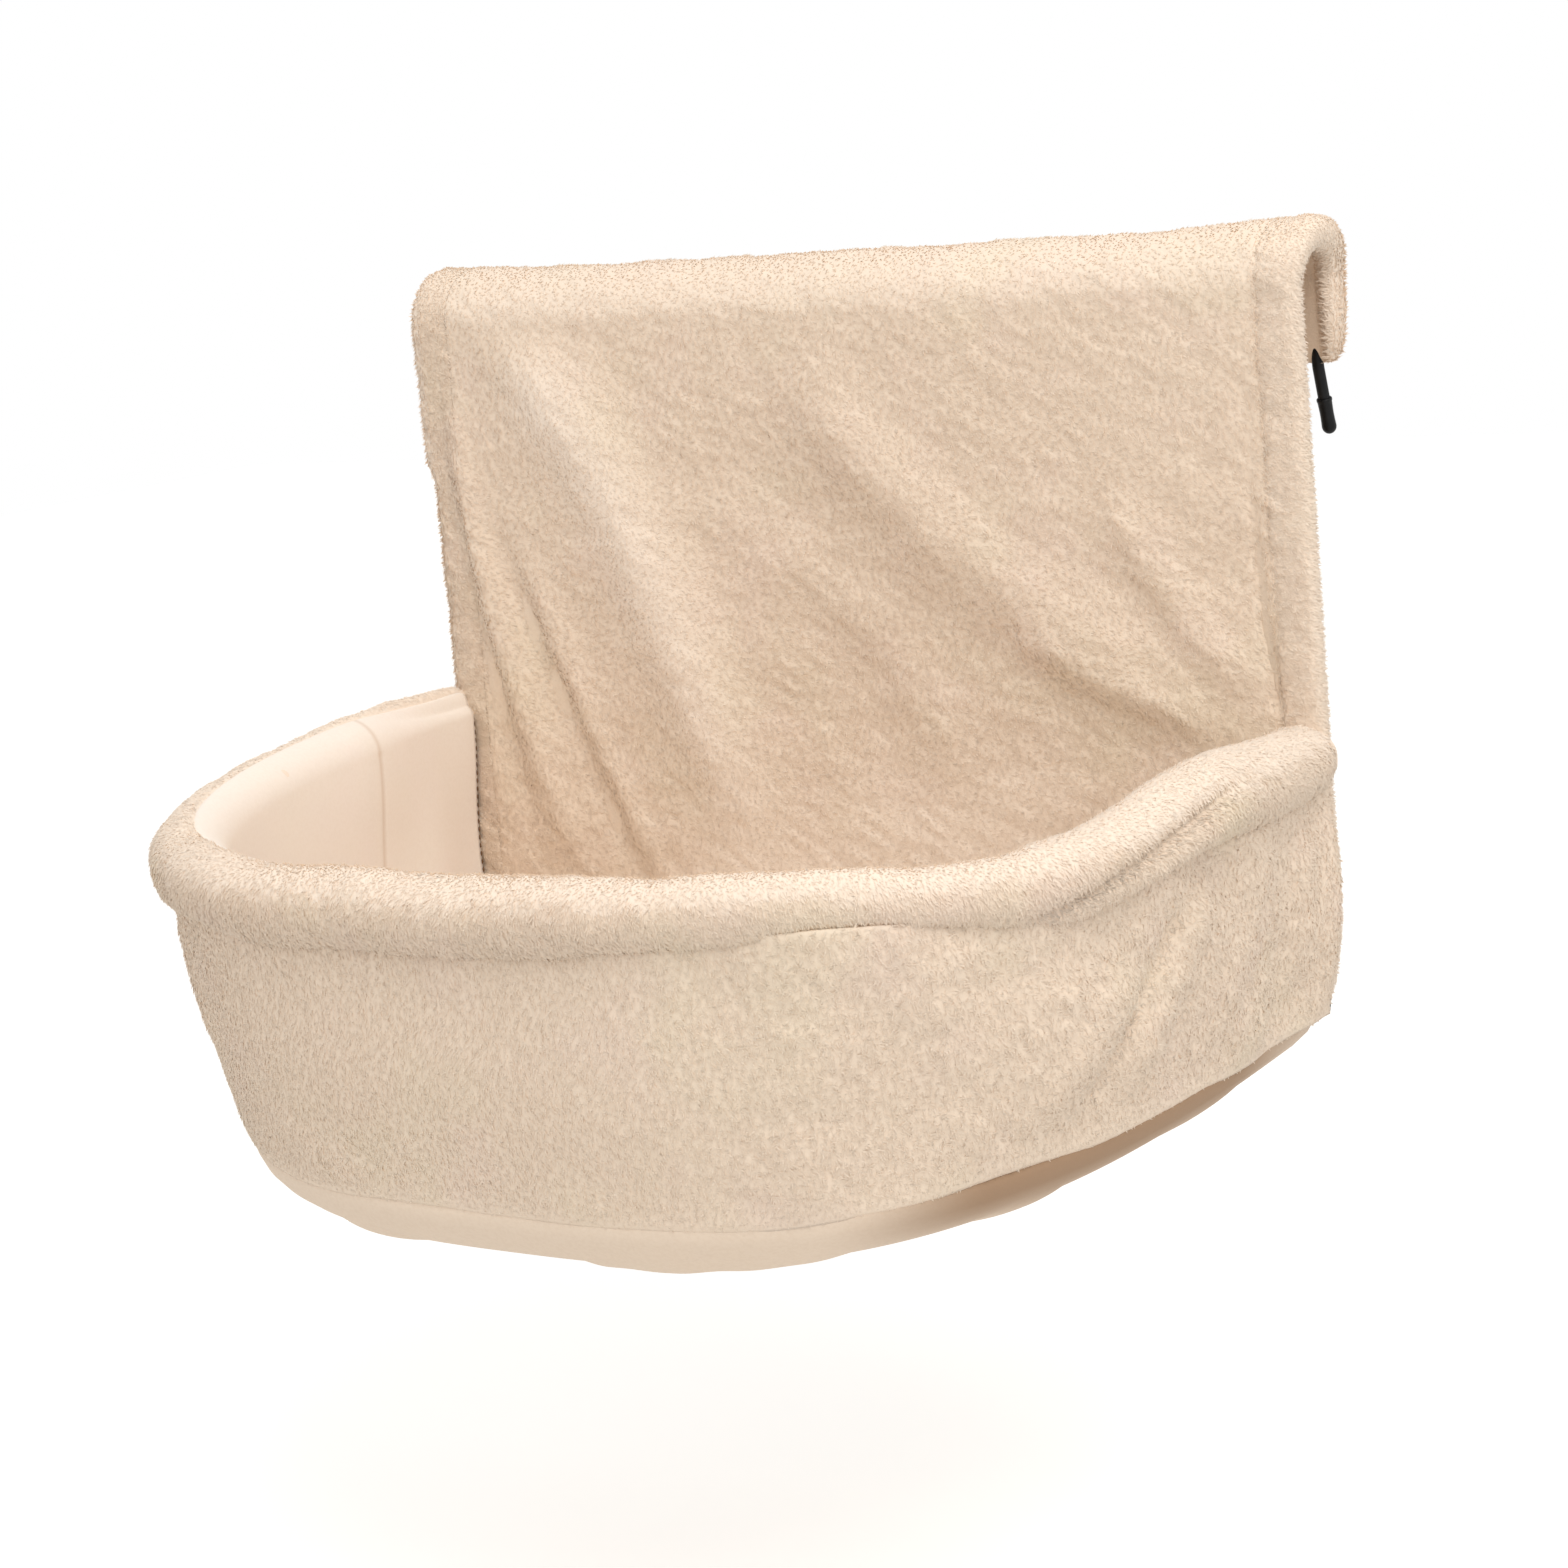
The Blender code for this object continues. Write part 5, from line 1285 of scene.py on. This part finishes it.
# Base. The underside is a bowl of smooth tan cloth, gathered where it meets the wall and slack in the middle.
# In it lies a thick pad, and on that the plush floor, crowned in the middle and tucked in all round.
BASE_SLACK = 0.0085
BASE_TUCK = 0.0022
BASE_RISE = 0.0025
BASE_CORNER = 0.0050
CORNER_X = 0.2085
CORNER_EASE = 0.0025
BACK_LINE = 0.001
BASE_SAG = base_high.z - base_low.z - SEAM_FALL + 0.0055 + BASE_SLACK
BASE_T = 0.0012
BASE_LIFT = 0.002
BROAD_WAVES = 0.0022
BROAD_SIZE = 0.055
FLOOR_CROWN = 0.008
CROWN_SHARE = 0.85
BASE_AROUND = 420
BASE_RINGS = 60
FLOOR_RINGS = 90
FLOOR_UNDER_STEP = 6
FLOOR_AROUND = 360
FLOOR_TUFTS = 40000
FLOOR_TUCK = 0.0045
FLOOR_BEHIND = 0.0016
FLOOR_UNDER_GAP = 0.0016
FLOOR_SLACK = 0.0010
FLOOR_SLACK_SIZE = 0.060
FLOOR_DEEPEST = 0.0009
FLOOR_EDGE_DIP = 0.0008
PAD_IN = 0.0045
PAD_EDGE = 0.0022
PAD_LIFT = 0.005
PUCKER = 0.0030
PUCKER_SIZE = 0.030
BASE_COLOUR = (0.84, 0.695, 0.56)
BASE_SHADE = (0.70, 0.54, 0.40)
BASE_PAINTED_SHADE = (0.37, 0.235, 0.145)


def base_rings(inset, back_inset, shares, around, level, corner=0.0):
    """Rings of the base's outline, shrunk towards its middle by shares, at the heights that level gives.

    Its two rear corners reach back by corner, behind the hems' feet and clear of the zip's run.
    """
    behind = max(around // 5, 4)
    back = BASKET_BACK - back_inset
    front = bow(BASE_HALF - inset, BASE_DEPTH - inset - back_inset, BASE_POWER, back, around - behind)
    x = np.linspace(front[-1, 0], front[0, 0], behind + 2)[1:-1]
    plan = np.concatenate([front, np.column_stack([x, np.full(behind, back)])])
    at_corner = smooth(np.abs(plan[:, 0]), CORNER_X, CORNER_X + CORNER_EASE) * (plan[:, 1] > back - BACK_LINE)
    plan[:, 1] += corner * at_corner
    middle = np.array([0.0, BASKET_BACK - BASE_DEPTH / 2])
    place = middle + (plan - middle) * shares[:, None, None]
    z = level(place, shares[:, None] + 0.0 * place[..., 0])
    return np.concatenate([place, z[..., None]], axis=-1)


def sag(share, depth):
    """How far the base hangs below its seam: steep at the edge and nearly flat in the middle."""
    return depth * np.sqrt(np.maximum(0.0, 1.0 - share**4))


def puckers(place, share):
    """Gathers that run in from the seam and die away, with slack broad waves over the whole bowl."""
    turn = np.arctan2(place[..., 0], -(place[..., 1] - BASKET_BACK + BASE_DEPTH / 2))
    round_it = np.stack([turn * 0.17, 0.0 * turn], axis=-1)
    near = smooth(share, 0.50, 0.93) * (1.0 - smooth(share, 0.99, 1.0))
    broad = BROAD_WAVES * (1 - share**8) * cloud(place, BROAD_SIZE, 92)
    return PUCKER * near * cloud(round_it, PUCKER_SIZE, 91) + broad


def pole(rings):
    """The rings with their innermost one drawn to a single point."""
    rings[0] = rings[0].mean(axis=0)
    return rings


shares = np.sin(np.linspace(0.0, math.pi / 2, BASE_RINGS))
under = pole(base_rings(
    BASE_TUCK, 0.0, shares, BASE_AROUND,
    lambda place, share: seam_level(place[..., 1]) + BASE_RISE - sag(share, BASE_SAG + BASE_RISE)
    - puckers(place, share), BASE_CORNER,
))
inner = pole(base_rings(
    BASE_T, BASE_T, shares[::4], BASE_AROUND,
    lambda place, share: seam_level(place[..., 1]) - FIT_GAP - sag(share, BASE_SAG - BASE_T - BASE_LIFT),
    BASE_CORNER,
))
base_tan = cloth("base_tan", BASE_COLOUR, BASE_COLOUR, BASE_COLOUR, BASE_SHADE, 0.12, 0.00022, 1300.0,
                 marks=(("painted_light_and_tone", BASE_PAINTED_SHADE),))
base_cover = put(
    "base_cover", loft(np.concatenate([under, inner[::-1]])), base_tan,
    replaces=("base_cloth",),
)
# Painted shade: a dark brown patch on the cover's right side, just under its seam, stands for the shadow under
# the wall's foot
cover = np.empty(3 * len(base_cover.data.vertices))
base_cover.data.vertices.foreach_get("co", cover)
turn = np.arctan2(cover[::3], BASKET_BACK - BASE_DEPTH / 2 - cover[1::3])
below = seam_level(cover[1::3]) - cover[2::3]
painted_light_and_tone = smooth(turn, 0.85, 1.25) * (1.0 - smooth(turn, 1.9, 2.3)) * (1.0 - smooth(below, 0.008, 0.034))
mark(base_cover, "painted_light_and_tone", 0.95 * painted_light_and_tone)


def crown(place):
    """The rise of the padded floor towards its middle, and its fall to the panel behind."""
    inset = WALL_T + FIT_GAP
    wide = np.abs(place[..., 0]) / (BASE_HALF - inset)
    deep = np.clip((BASKET_BACK - place[..., 1]) / (BASE_DEPTH - inset), 0.0, 1.0)
    rise = np.clip(1.0 - (wide**BASE_POWER + deep**BASE_POWER) / CROWN_SHARE, 0.0, 1.0)
    return FLOOR_CROWN * rise * smooth(deep, 0.02, 0.30)


pad_shares = np.linspace(0.0, 1.0, 16)
pad_top = pole(base_rings(
    PAD_IN, PAD_IN, pad_shares, 100,
    lambda place, share: seam_level(place[..., 1]) - PAD_EDGE + crown(place),
))
pad_under = pole(base_rings(
    PAD_IN, PAD_IN, pad_shares, 100,
    lambda place, share: seam_level(place[..., 1])
    - np.maximum(sag(share, BASE_SAG - PAD_LIFT), 2 * PAD_EDGE),
))
base_pad = put(
    "base_pad", loft(np.concatenate([pad_under, pad_top[::-1]])), wadding,
    replaces=("base_padding",), sharp=50,
)


def floor_level(place, share):
    """The plush floor's face: the pad's crown and the cloth's thickness, dimpled and tucked at its edge."""
    lift = PLUSH_T + 2 * FIT_GAP - PILE_ROOM - PAD_EDGE + crown(place)
    slack = FLOOR_SLACK * cloud(place, FLOOR_SLACK_SIZE, 95) * (1 - share**8)
    slack = slack + clumps(place[..., 0], place[..., 1], 0.5, 96)
    face = seam_level(place[..., 1]) + lift + np.maximum(slack, -FLOOR_DEEPEST)
    return face - FLOOR_EDGE_DIP * smooth(share, 0.96, 1.0)


floor_shares = np.sin(np.linspace(0.0, math.pi / 2, FLOOR_RINGS))
floor_in = WALL_T - FLOOR_TUCK
floor_rear = -FLOOR_BEHIND
floor_top = pole(base_rings(floor_in, floor_rear, floor_shares, FLOOR_AROUND, floor_level))
under_shares = np.append(floor_shares[::FLOOR_UNDER_STEP], floor_shares[-1])
floor_under = pole(base_rings(
    floor_in, floor_rear, under_shares, FLOOR_AROUND,
    lambda place, share: seam_level(place[..., 1]) - PAD_EDGE + FIT_GAP + crown(place) - FLOOR_UNDER_GAP,
))
floor_plush = put(
    "floor_plush", loft(np.concatenate([floor_under, floor_top[::-1]])), plush_ground,
    replaces=("floor_fleece",),
)
floor_grid = floor_top[:, ::-1]
put_pile(
    "floor_pile", pile(floor_grid, math.radians(60), FLOOR_TUFTS, 97, wrap=True), plush_tufts
)

# Steel frame. Two 5 mm rods, each bent over as a hook with a flared tail, two straight bars between their
# legs and a hoop whose ends plug into short sockets. All are powder coated black, with a faint orange peel.
leg_low, leg_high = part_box("hook_rod_right")
socket_low, socket_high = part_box("socket_tube_right")
cap_low, cap_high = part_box("tail_cap_right")
LEG_X = leg_high.x - ROD_R
WIRE_R = -leg_low.y - ROD_R
TAIL_BEND_R = 0.010
TAIL_BARE_L = 0.013
TAIL_FLARE = math.radians(15)
CAP_BORE_L = 0.012
ROD_AROUND = 24
SOCKET_R = (socket_high.x - socket_low.x) / 2
SOCKET_Y = (socket_low.y + socket_high.y) / 2
HOOP_BEND_R = FACE_R + SOCKET_Y
BEND_POINTS = 40


def arc(radius, start, end, count=BEND_POINTS):
    """Cosine and sine of evenly spaced turns, times a radius."""
    turn = np.linspace(start, end, count)
    return radius * np.cos(turn), radius * np.sin(turn)


def tube(path, radius, around=ROD_AROUND):
    """Rings of a round bar: circles square to the path, turned as little as possible from one to the next."""
    along = np.gradient(path, axis=0)
    along /= np.linalg.norm(along, axis=1, keepdims=True)
    side = np.cross(along[0], (0.31, 0.52, 0.79))
    turn = np.linspace(0.0, 2.0 * math.pi, around, endpoint=False)[:, None]
    radius = np.broadcast_to(radius, len(path))
    rings = []
    for middle, ahead, reach in zip(path, along, radius):
        side = side - ahead * (side @ ahead)
        side /= np.linalg.norm(side)
        rings.append(middle + reach * (np.cos(turn) * side + np.sin(turn) * np.cross(ahead, side)))
    return np.array(rings)


def hard(name, base, roughness, metallic, peel, peel_scale, coat=0.0):
    """A hard finish: its colour with faint dusty patches, and a fine uneven surface in gloss and height."""
    material, tree, shader = new_material(name)
    place = tree.nodes.new("ShaderNodeTexCoord").outputs["Object"]
    brushed = use(tree, nap, Place_Vector=place, Fineness=peel_scale)
    dusty = stretch(tree, noise(tree, place, 90.0, 4.0, 0.6), 0.45, 0.75, 0.0, 0.25)
    pale = tuple(c + 0.02 * (1.0 - c) for c in base)
    tree.links.new(blend_colour(tree, dusty, base, pale), shader.inputs["Base Color"])
    tree.links.new(
        stretch(tree, brushed.outputs["Nap Height"], 0.25, 0.75, roughness - 0.07, roughness + 0.10),
        shader.inputs["Roughness"],
    )
    shader.inputs["Metallic"].default_value = metallic
    shader.inputs["Coat Weight"].default_value = coat
    shader.inputs["Specular IOR Level"].default_value = 0.5 if metallic else 0.18
    rough_up(tree, shader, brushed.outputs["Nap Height"], peel, 0.5)
    return material


powder_coat = hard("black_powder_coat", (0.005, 0.005, 0.0055), 0.50, 0.0, 0.00012, 2600.0)
black_nylon = hard("black_nylon", (0.004, 0.004, 0.0045), 0.42, 0.0, 0.00005, 3800.0)
leg_foot = leg_low.z
bend_y, bend_z = arc(WIRE_R, math.pi, 0.0)
flare = np.linspace(0.0, TAIL_FLARE, 10)
tail_y = WIRE_R + TAIL_BEND_R * (1 - np.cos(flare))
tail_z = FLAP_FOOT - TAIL_BEND_R * np.sin(flare)
tail_run = TAIL_BARE_L + CAP_BORE_L - FIT_GAP
rod_y = np.concatenate([[-WIRE_R], bend_y, tail_y, [tail_y[-1] + tail_run * math.sin(TAIL_FLARE)]])
rod_z = np.concatenate([[leg_foot], BEND_Z + bend_z, tail_z, [tail_z[-1] - tail_run * math.cos(TAIL_FLARE)]])
for side, sign in (("left", -1.0), ("right", 1.0)):
    path = np.column_stack([np.full(len(rod_y), sign * LEG_X), rod_y, rod_z])
    put("hook_rod_bar_" + side, loft(tube(path, ROD_R)), powder_coat,
        replaces=("hook_rod_" + side,), sharp=50)
bar_x = LEG_X - ROD_R - FIT_GAP
for place, level in (("top", (bar_low.z + bar_high.z) / 2), ("lower", leg_foot + ROD_R)):
    path = np.array([[x * bar_x, -WIRE_R, level] for x in (-1.0, -0.5, 0.5, 1.0)])
    put(place + "_cross_bar", loft(tube(path, ROD_R)), powder_coat,
        replaces=(place + "_crossbar",), sharp=50)
plan = bow(RIM_HALF, RIM_DEPTH, RIM_POWER, BASKET_BACK, 160)
over = np.column_stack([plan, RIM_LEVEL - RIM_FALL * ((BASKET_BACK - plan[:, 1]) / RIM_DEPTH) ** 2])
down_y, down_z = arc(HOOP_BEND_R, 0.0, math.pi / 2, 14)
leg = np.column_stack([
    np.full(14, RIM_HALF), SOCKET_Y - HOOP_BEND_R + down_y, RIM_LEVEL - HOOP_BEND_R + down_z
])[:-1]
leg = np.concatenate([[[RIM_HALF, SOCKET_Y, hoop_low.z]], leg])
path = np.concatenate([leg, over, leg[::-1] * (-1.0, 1.0, 1.0)])
put("basket_hoop_bar", loft(tube(path, ROD_R)), powder_coat,
    replaces=("basket_hoop",), sharp=50)


def wrapped(rings):
    """Points, faces and a flat map of a closed ring: a closed section carried all the way round."""
    count, around = rings.shape[:2]
    at = np.arange(count * around).reshape(count, around)
    beside, beyond = np.roll(at, -1, axis=1), np.roll(at, -1, axis=0)
    quads = np.stack([at, beside, np.roll(beyond, -1, axis=1), beyond], axis=-1).reshape(-1, 4)
    row, column = np.meshgrid(np.arange(count), np.arange(around), indexing="ij")
    corner = np.stack([
        np.stack([row, column], -1), np.stack([row, column + 1], -1),
        np.stack([row + 1, column + 1], -1), np.stack([row + 1, column], -1),
    ], axis=2).reshape(-1, 4, 2) / (count, around)
    points = rings.reshape(-1, 3)
    near = points - points.mean(axis=0)
    volume = sum(
        np.einsum("ij,ij->", near[quads[:, a]], np.cross(near[quads[:, b]], near[quads[:, c]]))
        for a, b, c in ((0, 1, 2), (0, 2, 3))
    )
    if volume < 0:
        quads, corner = quads[:, ::-1], corner[:, ::-1]
    return points, quads.tolist(), corner.reshape(-1, 2).tolist()


def turned(profile, middle, axis, around=40):
    """Rings of a turned piece: radii and distances along an axis, from its first point to its last."""
    axis = np.asarray(axis, float)
    side = np.array([1.0, 0.0, 0.0])
    other = np.cross(axis, side)
    turn = np.linspace(0.0, 2.0 * math.pi, around, endpoint=False)[None, :, None]
    reach, along = (np.asarray(v)[:, None, None] for v in zip(*profile))
    return middle + along * axis + reach * (np.cos(turn) * side + np.sin(turn) * other)


EDGE = 0.0002
for side, sign in (("left", -1.0), ("right", 1.0)):
    long = socket_high.z - socket_low.z
    section = (
        (ROD_R + FIT_GAP, 0.0), (SOCKET_R - EDGE, 0.0), (SOCKET_R, EDGE), (SOCKET_R, long - EDGE),
        (SOCKET_R - EDGE, long), (ROD_R + FIT_GAP, long),
    )
    rings = turned(section, np.array([sign * RIM_HALF, SOCKET_Y, socket_low.z]), (0.0, 0.0, 1.0), 32)
    put("socket_sleeve_" + side, wrapped(rings), powder_coat,
        replaces=("socket_tube_" + side,), sharp=40)

# Tail caps. A soft black plastic cap is pushed over the end of each tail. It has a thin lip at its mouth, a
# slightly drawn-in grip and a domed tip.
CAP_R = (cap_high.x - cap_low.x) / 2
CAP_L = 0.016
LIP = 0.0004
axis = np.array([0.0, math.sin(TAIL_FLARE), -math.cos(TAIL_FLARE)])
dome = np.linspace(0.0, math.pi / 2, 10)[1:]
grip = np.linspace(0.0, 1.0, 9)
bore = ROD_R + FIT_GAP
mouth_edge = CAP_R - LIP
cap_profile = [(0.0, CAP_BORE_L), (bore - LIP, CAP_BORE_L), (bore, CAP_BORE_L - LIP), (bore, 0.0)]
cap_profile += [(mouth_edge, 0.0), (CAP_R, LIP), (CAP_R, 3 * LIP), (CAP_R - LIP / 2, 4 * LIP)]
shoulder = CAP_L - CAP_R
cap_profile += [
    (CAP_R - LIP / 2 - LIP / 2 * math.sin(math.pi * g), 4 * LIP + g * (shoulder - 4 * LIP)) for g in grip[1:]
]
cap_profile += [((CAP_R - LIP / 2) * math.cos(a), shoulder + CAP_R * math.sin(a)) for a in dome]
for side, sign in (("left", -1.0), ("right", 1.0)):
    rod_end = np.array([sign * LEG_X, rod_y[-1], rod_z[-1]])
    rings = turned(cap_profile, rod_end - axis * (CAP_BORE_L - FIT_GAP), axis)
    put("tail_end_cap_" + side, loft(rings), black_nylon, replaces=("tail_cap_" + side,),
        sharp=35)

# Zip. Under the panel the cover opens so that the frame can be taken out. Two woven tapes carry two rows of
# moulded teeth, with a stop at each end, and the slider waits closed at the right end with its pull hanging.
tape_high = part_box("zip_tape_front")[1]
coil_low, coil_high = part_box("zip_coil_front")
rear_low, rear_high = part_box("zip_coil_rear")
slider_low, slider_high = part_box("zip_slider")
pull_low, pull_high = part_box("zip_pull")
ZIP_Y = (coil_low.y + rear_high.y) / 2
COIL_W = coil_high.y - coil_low.y
COIL_T = coil_high.z - coil_low.z
TEETH = 190
TOOTH_GAP = 0.0006
TOOTH_EASE = 0.00025
TAPE_EASE = 0.00015
STOP_EASE = 0.0003
WEAVE_SCALE = 2600.0
WEAVE_RISE = 0.0002
BRIDGE_W = 0.0016
BRIDGE_T = 0.001
BRIDGE_L = 0.007
PLATE_T = 0.001
DIVIDER_T = 0.0008


def bar_rings(x, half_y, half_z, y, z, ease):
    """Rings of a flat bar along X: at each x a rounded rectangle of these half sizes about y and z."""
    turn = np.linspace(0.0, 2.0 * math.pi, 16, endpoint=False) + math.pi / 16
    half_y, half_z, x = (np.broadcast_to(v, np.shape(x))[:, None] for v in (half_y, half_z, x))
    y = y + np.sign(np.cos(turn)) * (half_y - ease) + ease * np.cos(turn)
    z = z + np.sign(np.sin(turn)) * (half_z - ease) + ease * np.sin(turn)
    return np.stack([x + 0.0 * turn, y, z], axis=-1)


def slab_box(low, high, ease):
    """Rings of a box with eased edges, stacked along X: a rounded rectangle that shrinks at both ends."""
    low, high = np.array(low), np.array(high)
    half, middle = (high - low) / 2, (high + low) / 2
    x = np.array([low[0], low[0] + ease, high[0] - ease, high[0]])
    inset = np.array([ease, 0.0, 0.0, ease])
    return bar_rings(x, half[1] - inset, half[2] - inset, middle[1], middle[2], ease)


def woven(name, base, thread):
    """Narrow woven tape: two thread colours that cross as fine waves, with height from both."""
    material, tree, shader = new_material(name)
    place = tree.nodes.new("ShaderNodeTexCoord").outputs["Object"]
    waves = []
    for direction in ("X", "Y"):
        wave = tree.nodes.new("ShaderNodeTexWave")
        wave.bands_direction = direction
        wave.inputs["Scale"].default_value = WEAVE_SCALE / 10
        wave.inputs["Distortion"].default_value = 0.6
        tree.links.new(place, wave.inputs["Vector"])
        waves.append(wave.outputs["Fac"])
    cross = combined(tree, "MULTIPLY", waves[0], waves[1])
    tree.links.new(blend_colour(tree, cross, thread, base), shader.inputs["Base Color"])
    rough_up(tree, shader, cross, WEAVE_RISE)
    shader.inputs["Roughness"].default_value = 0.9
    return material


tape_weave = woven("tape_weave", (0.80, 0.69, 0.56), (0.66, 0.54, 0.42))
tooth_nylon = hard("tooth_nylon", (0.80, 0.70, 0.58), 0.45, 0.0, 0.00003, 3000.0)
zip_alloy = hard("zip_alloy", (0.60, 0.58, 0.55), 0.30, 1.0, 0.00003, 3000.0)
pitch = (coil_high.x - coil_low.x) / TEETH
tooth = slab_box((0.0, 0.0, 0.0), (pitch - TOOTH_GAP, COIL_W, COIL_T), TOOTH_EASE)
for place, low in (("front", coil_low), ("rear", rear_low)):
    strip_low, strip_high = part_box("zip_tape_" + place)
    put("tape_" + place, loft(slab_box(strip_low, strip_high, TAPE_EASE)), tape_weave,
        replaces=("zip_tape_" + place,), sharp=40)
    points, faces, flat = loft(tooth)
    shift = np.stack([low.x + pitch * np.arange(TEETH), np.full(TEETH, low.y), np.full(TEETH, low.z)], axis=1)
    row = (points[None] + shift[:, None]).reshape(-1, 3)
    many = [[i + k * len(points) for i in face] for k in range(TEETH) for face in faces]
    cells = math.ceil(math.sqrt(TEETH))
    spots = np.stack(np.divmod(np.arange(TEETH), cells), axis=-1)[:, None] + 0.94 * np.asarray(flat)
    put("teeth_" + place, (row, many, spots.reshape(-1, 2) / cells), tooth_nylon,
        replaces=("zip_coil_" + place,), sharp=40)
for side in ("left", "right"):
    put("end_stop_" + side, loft(slab_box(*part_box("zip_stop_" + side), STOP_EASE)), zip_alloy,
        replaces=("zip_stop_" + side,), sharp=40)

# Slider. Two cast plates, narrower at the tail, clasp the teeth from above and below. A thin divider joins
# them, and a bent bridge of round wire under the lower one carries the pull.
SLIDER_EASE = 0.00035
PLATE_EASE = 0.00022
DIVIDER_EASE = 0.00015
BRIDGE_BEND_R = 0.0011
SLIDER_MID = (slider_low.x + slider_high.x) / 2
slider_half = (slider_high.x - slider_low.x) / 2 - SLIDER_EASE
plate_half = (slider_high.y - slider_low.y) / 2
under_top = coil_low.z - FIT_GAP
over_low = tape_high.z + FIT_GAP
place = np.linspace(-1.0, 1.0, 17)
tip = 1.0 + SLIDER_EASE / slider_half
body_x = SLIDER_MID + slider_half * np.concatenate([[-tip], place, [tip]])
taper = 0.80 + 0.20 * smooth(place, -0.6, 0.5) - 0.06 * smooth(place, 0.75, 1.0)
taper = np.concatenate([[0.62], taper, [0.80]])
flat = np.concatenate([[0.55], np.ones(17), [0.55]])
parts = [
    bar_rings(body_x, half_y * taper, PLATE_T / 2 * flat, ZIP_Y, middle, PLATE_EASE)
    for half_y, middle in (
        (DIVIDER_T / 2 + COIL_W, over_low + PLATE_T / 2), (plate_half, under_top - PLATE_T / 2)
    )
]
parts.append(slab_box(
    (SLIDER_MID - slider_half * 0.8, ZIP_Y - DIVIDER_T / 2, under_top - PLATE_T / 2),
    (SLIDER_MID + slider_half * 0.8, ZIP_Y + DIVIDER_T / 2, over_low + PLATE_T / 2), DIVIDER_EASE,
))
bridge_foot = slider_low.z + BRIDGE_T / 2
corner_x, corner_z = arc(BRIDGE_BEND_R, -math.pi / 2, 0.0, 10)
half_x = BRIDGE_L / 2 - BRIDGE_T / 2
side_x = np.concatenate([half_x - BRIDGE_BEND_R + corner_x, [half_x]])
side_z = np.concatenate([bridge_foot + BRIDGE_BEND_R + corner_z, [under_top - PLATE_T * 0.6]])
bridge_path = np.column_stack([
    SLIDER_MID + np.concatenate([-side_x[::-1], side_x]), np.full(2 * len(side_x), ZIP_Y),
    np.concatenate([side_z[::-1], side_z]),
])
bridge = tube(bridge_path, BRIDGE_T / 2, 16)
bridge[..., 1] = ZIP_Y + (bridge[..., 1] - ZIP_Y) * BRIDGE_W / BRIDGE_T
parts.append(bridge)
put("slider_body", joined([loft(rings) for rings in parts], 2, 0.48), zip_alloy,
    body="zip_slider", replaces=("zip_slider",), sharp=40)

# Pull. A flat cast tab, thinner inside its raised border, whose eye hangs on the slider's bridge.
PULL_BORDER = 0.001
PULL_EDGE = 0.00025
PULL_SUNK = 0.00025
PULL_AROUND = 96
pull_thin = (pull_high.x - pull_low.x) / 2
eye_half = BRIDGE_W / 2 + 2 * FIT_GAP
eye_tall = (BRIDGE_L / 2 + 2 * FIT_GAP) / 2
turn = np.linspace(0.0, 2.0 * math.pi, PULL_AROUND, endpoint=False)


def eased_box(half_y, half_z, power):
    """A rectangle's outline with round corners, by turns: a superellipse of this power."""
    reach = np.abs(np.cos(turn) / half_y) ** power + np.abs(np.sin(turn) / half_z) ** power
    reach = reach ** (-1.0 / power)
    return np.column_stack([reach * np.cos(turn), reach * np.sin(turn)])


eye = eased_box(eye_half, eye_tall, 6.0) + (ZIP_Y, pull_high.z - PULL_BORDER - eye_tall)
rim_of_pull = eased_box((pull_high.y - pull_low.y) / 2, (pull_high.z - pull_low.z) / 2, 7.0)
rim_of_pull = rim_of_pull + (ZIP_Y, (pull_low.z + pull_high.z) / 2)
face_shares = np.array([0.0, 0.07, 0.24, 0.34, 0.70, 0.80, 0.93, 1.0])
face_depths = np.array([PULL_EDGE, 0.0, 0.0, PULL_SUNK, PULL_SUNK, 0.0, 0.0, PULL_EDGE])
out_share = np.concatenate([face_shares, face_shares[::-1]])[None, :, None]
out_x = np.concatenate([pull_thin - face_depths, face_depths[::-1] - pull_thin])
outline = eye[:, None] * (1 - out_share) + rim_of_pull[:, None] * out_share
out_x = np.broadcast_to((pull_low.x + pull_high.x) / 2 + out_x, outline.shape[:2])
put("pull_tab", wrapped(np.concatenate([out_x[..., None], outline], axis=-1)), zip_alloy,
    body="zip_pull", replaces=("zip_pull",), sharp=40)
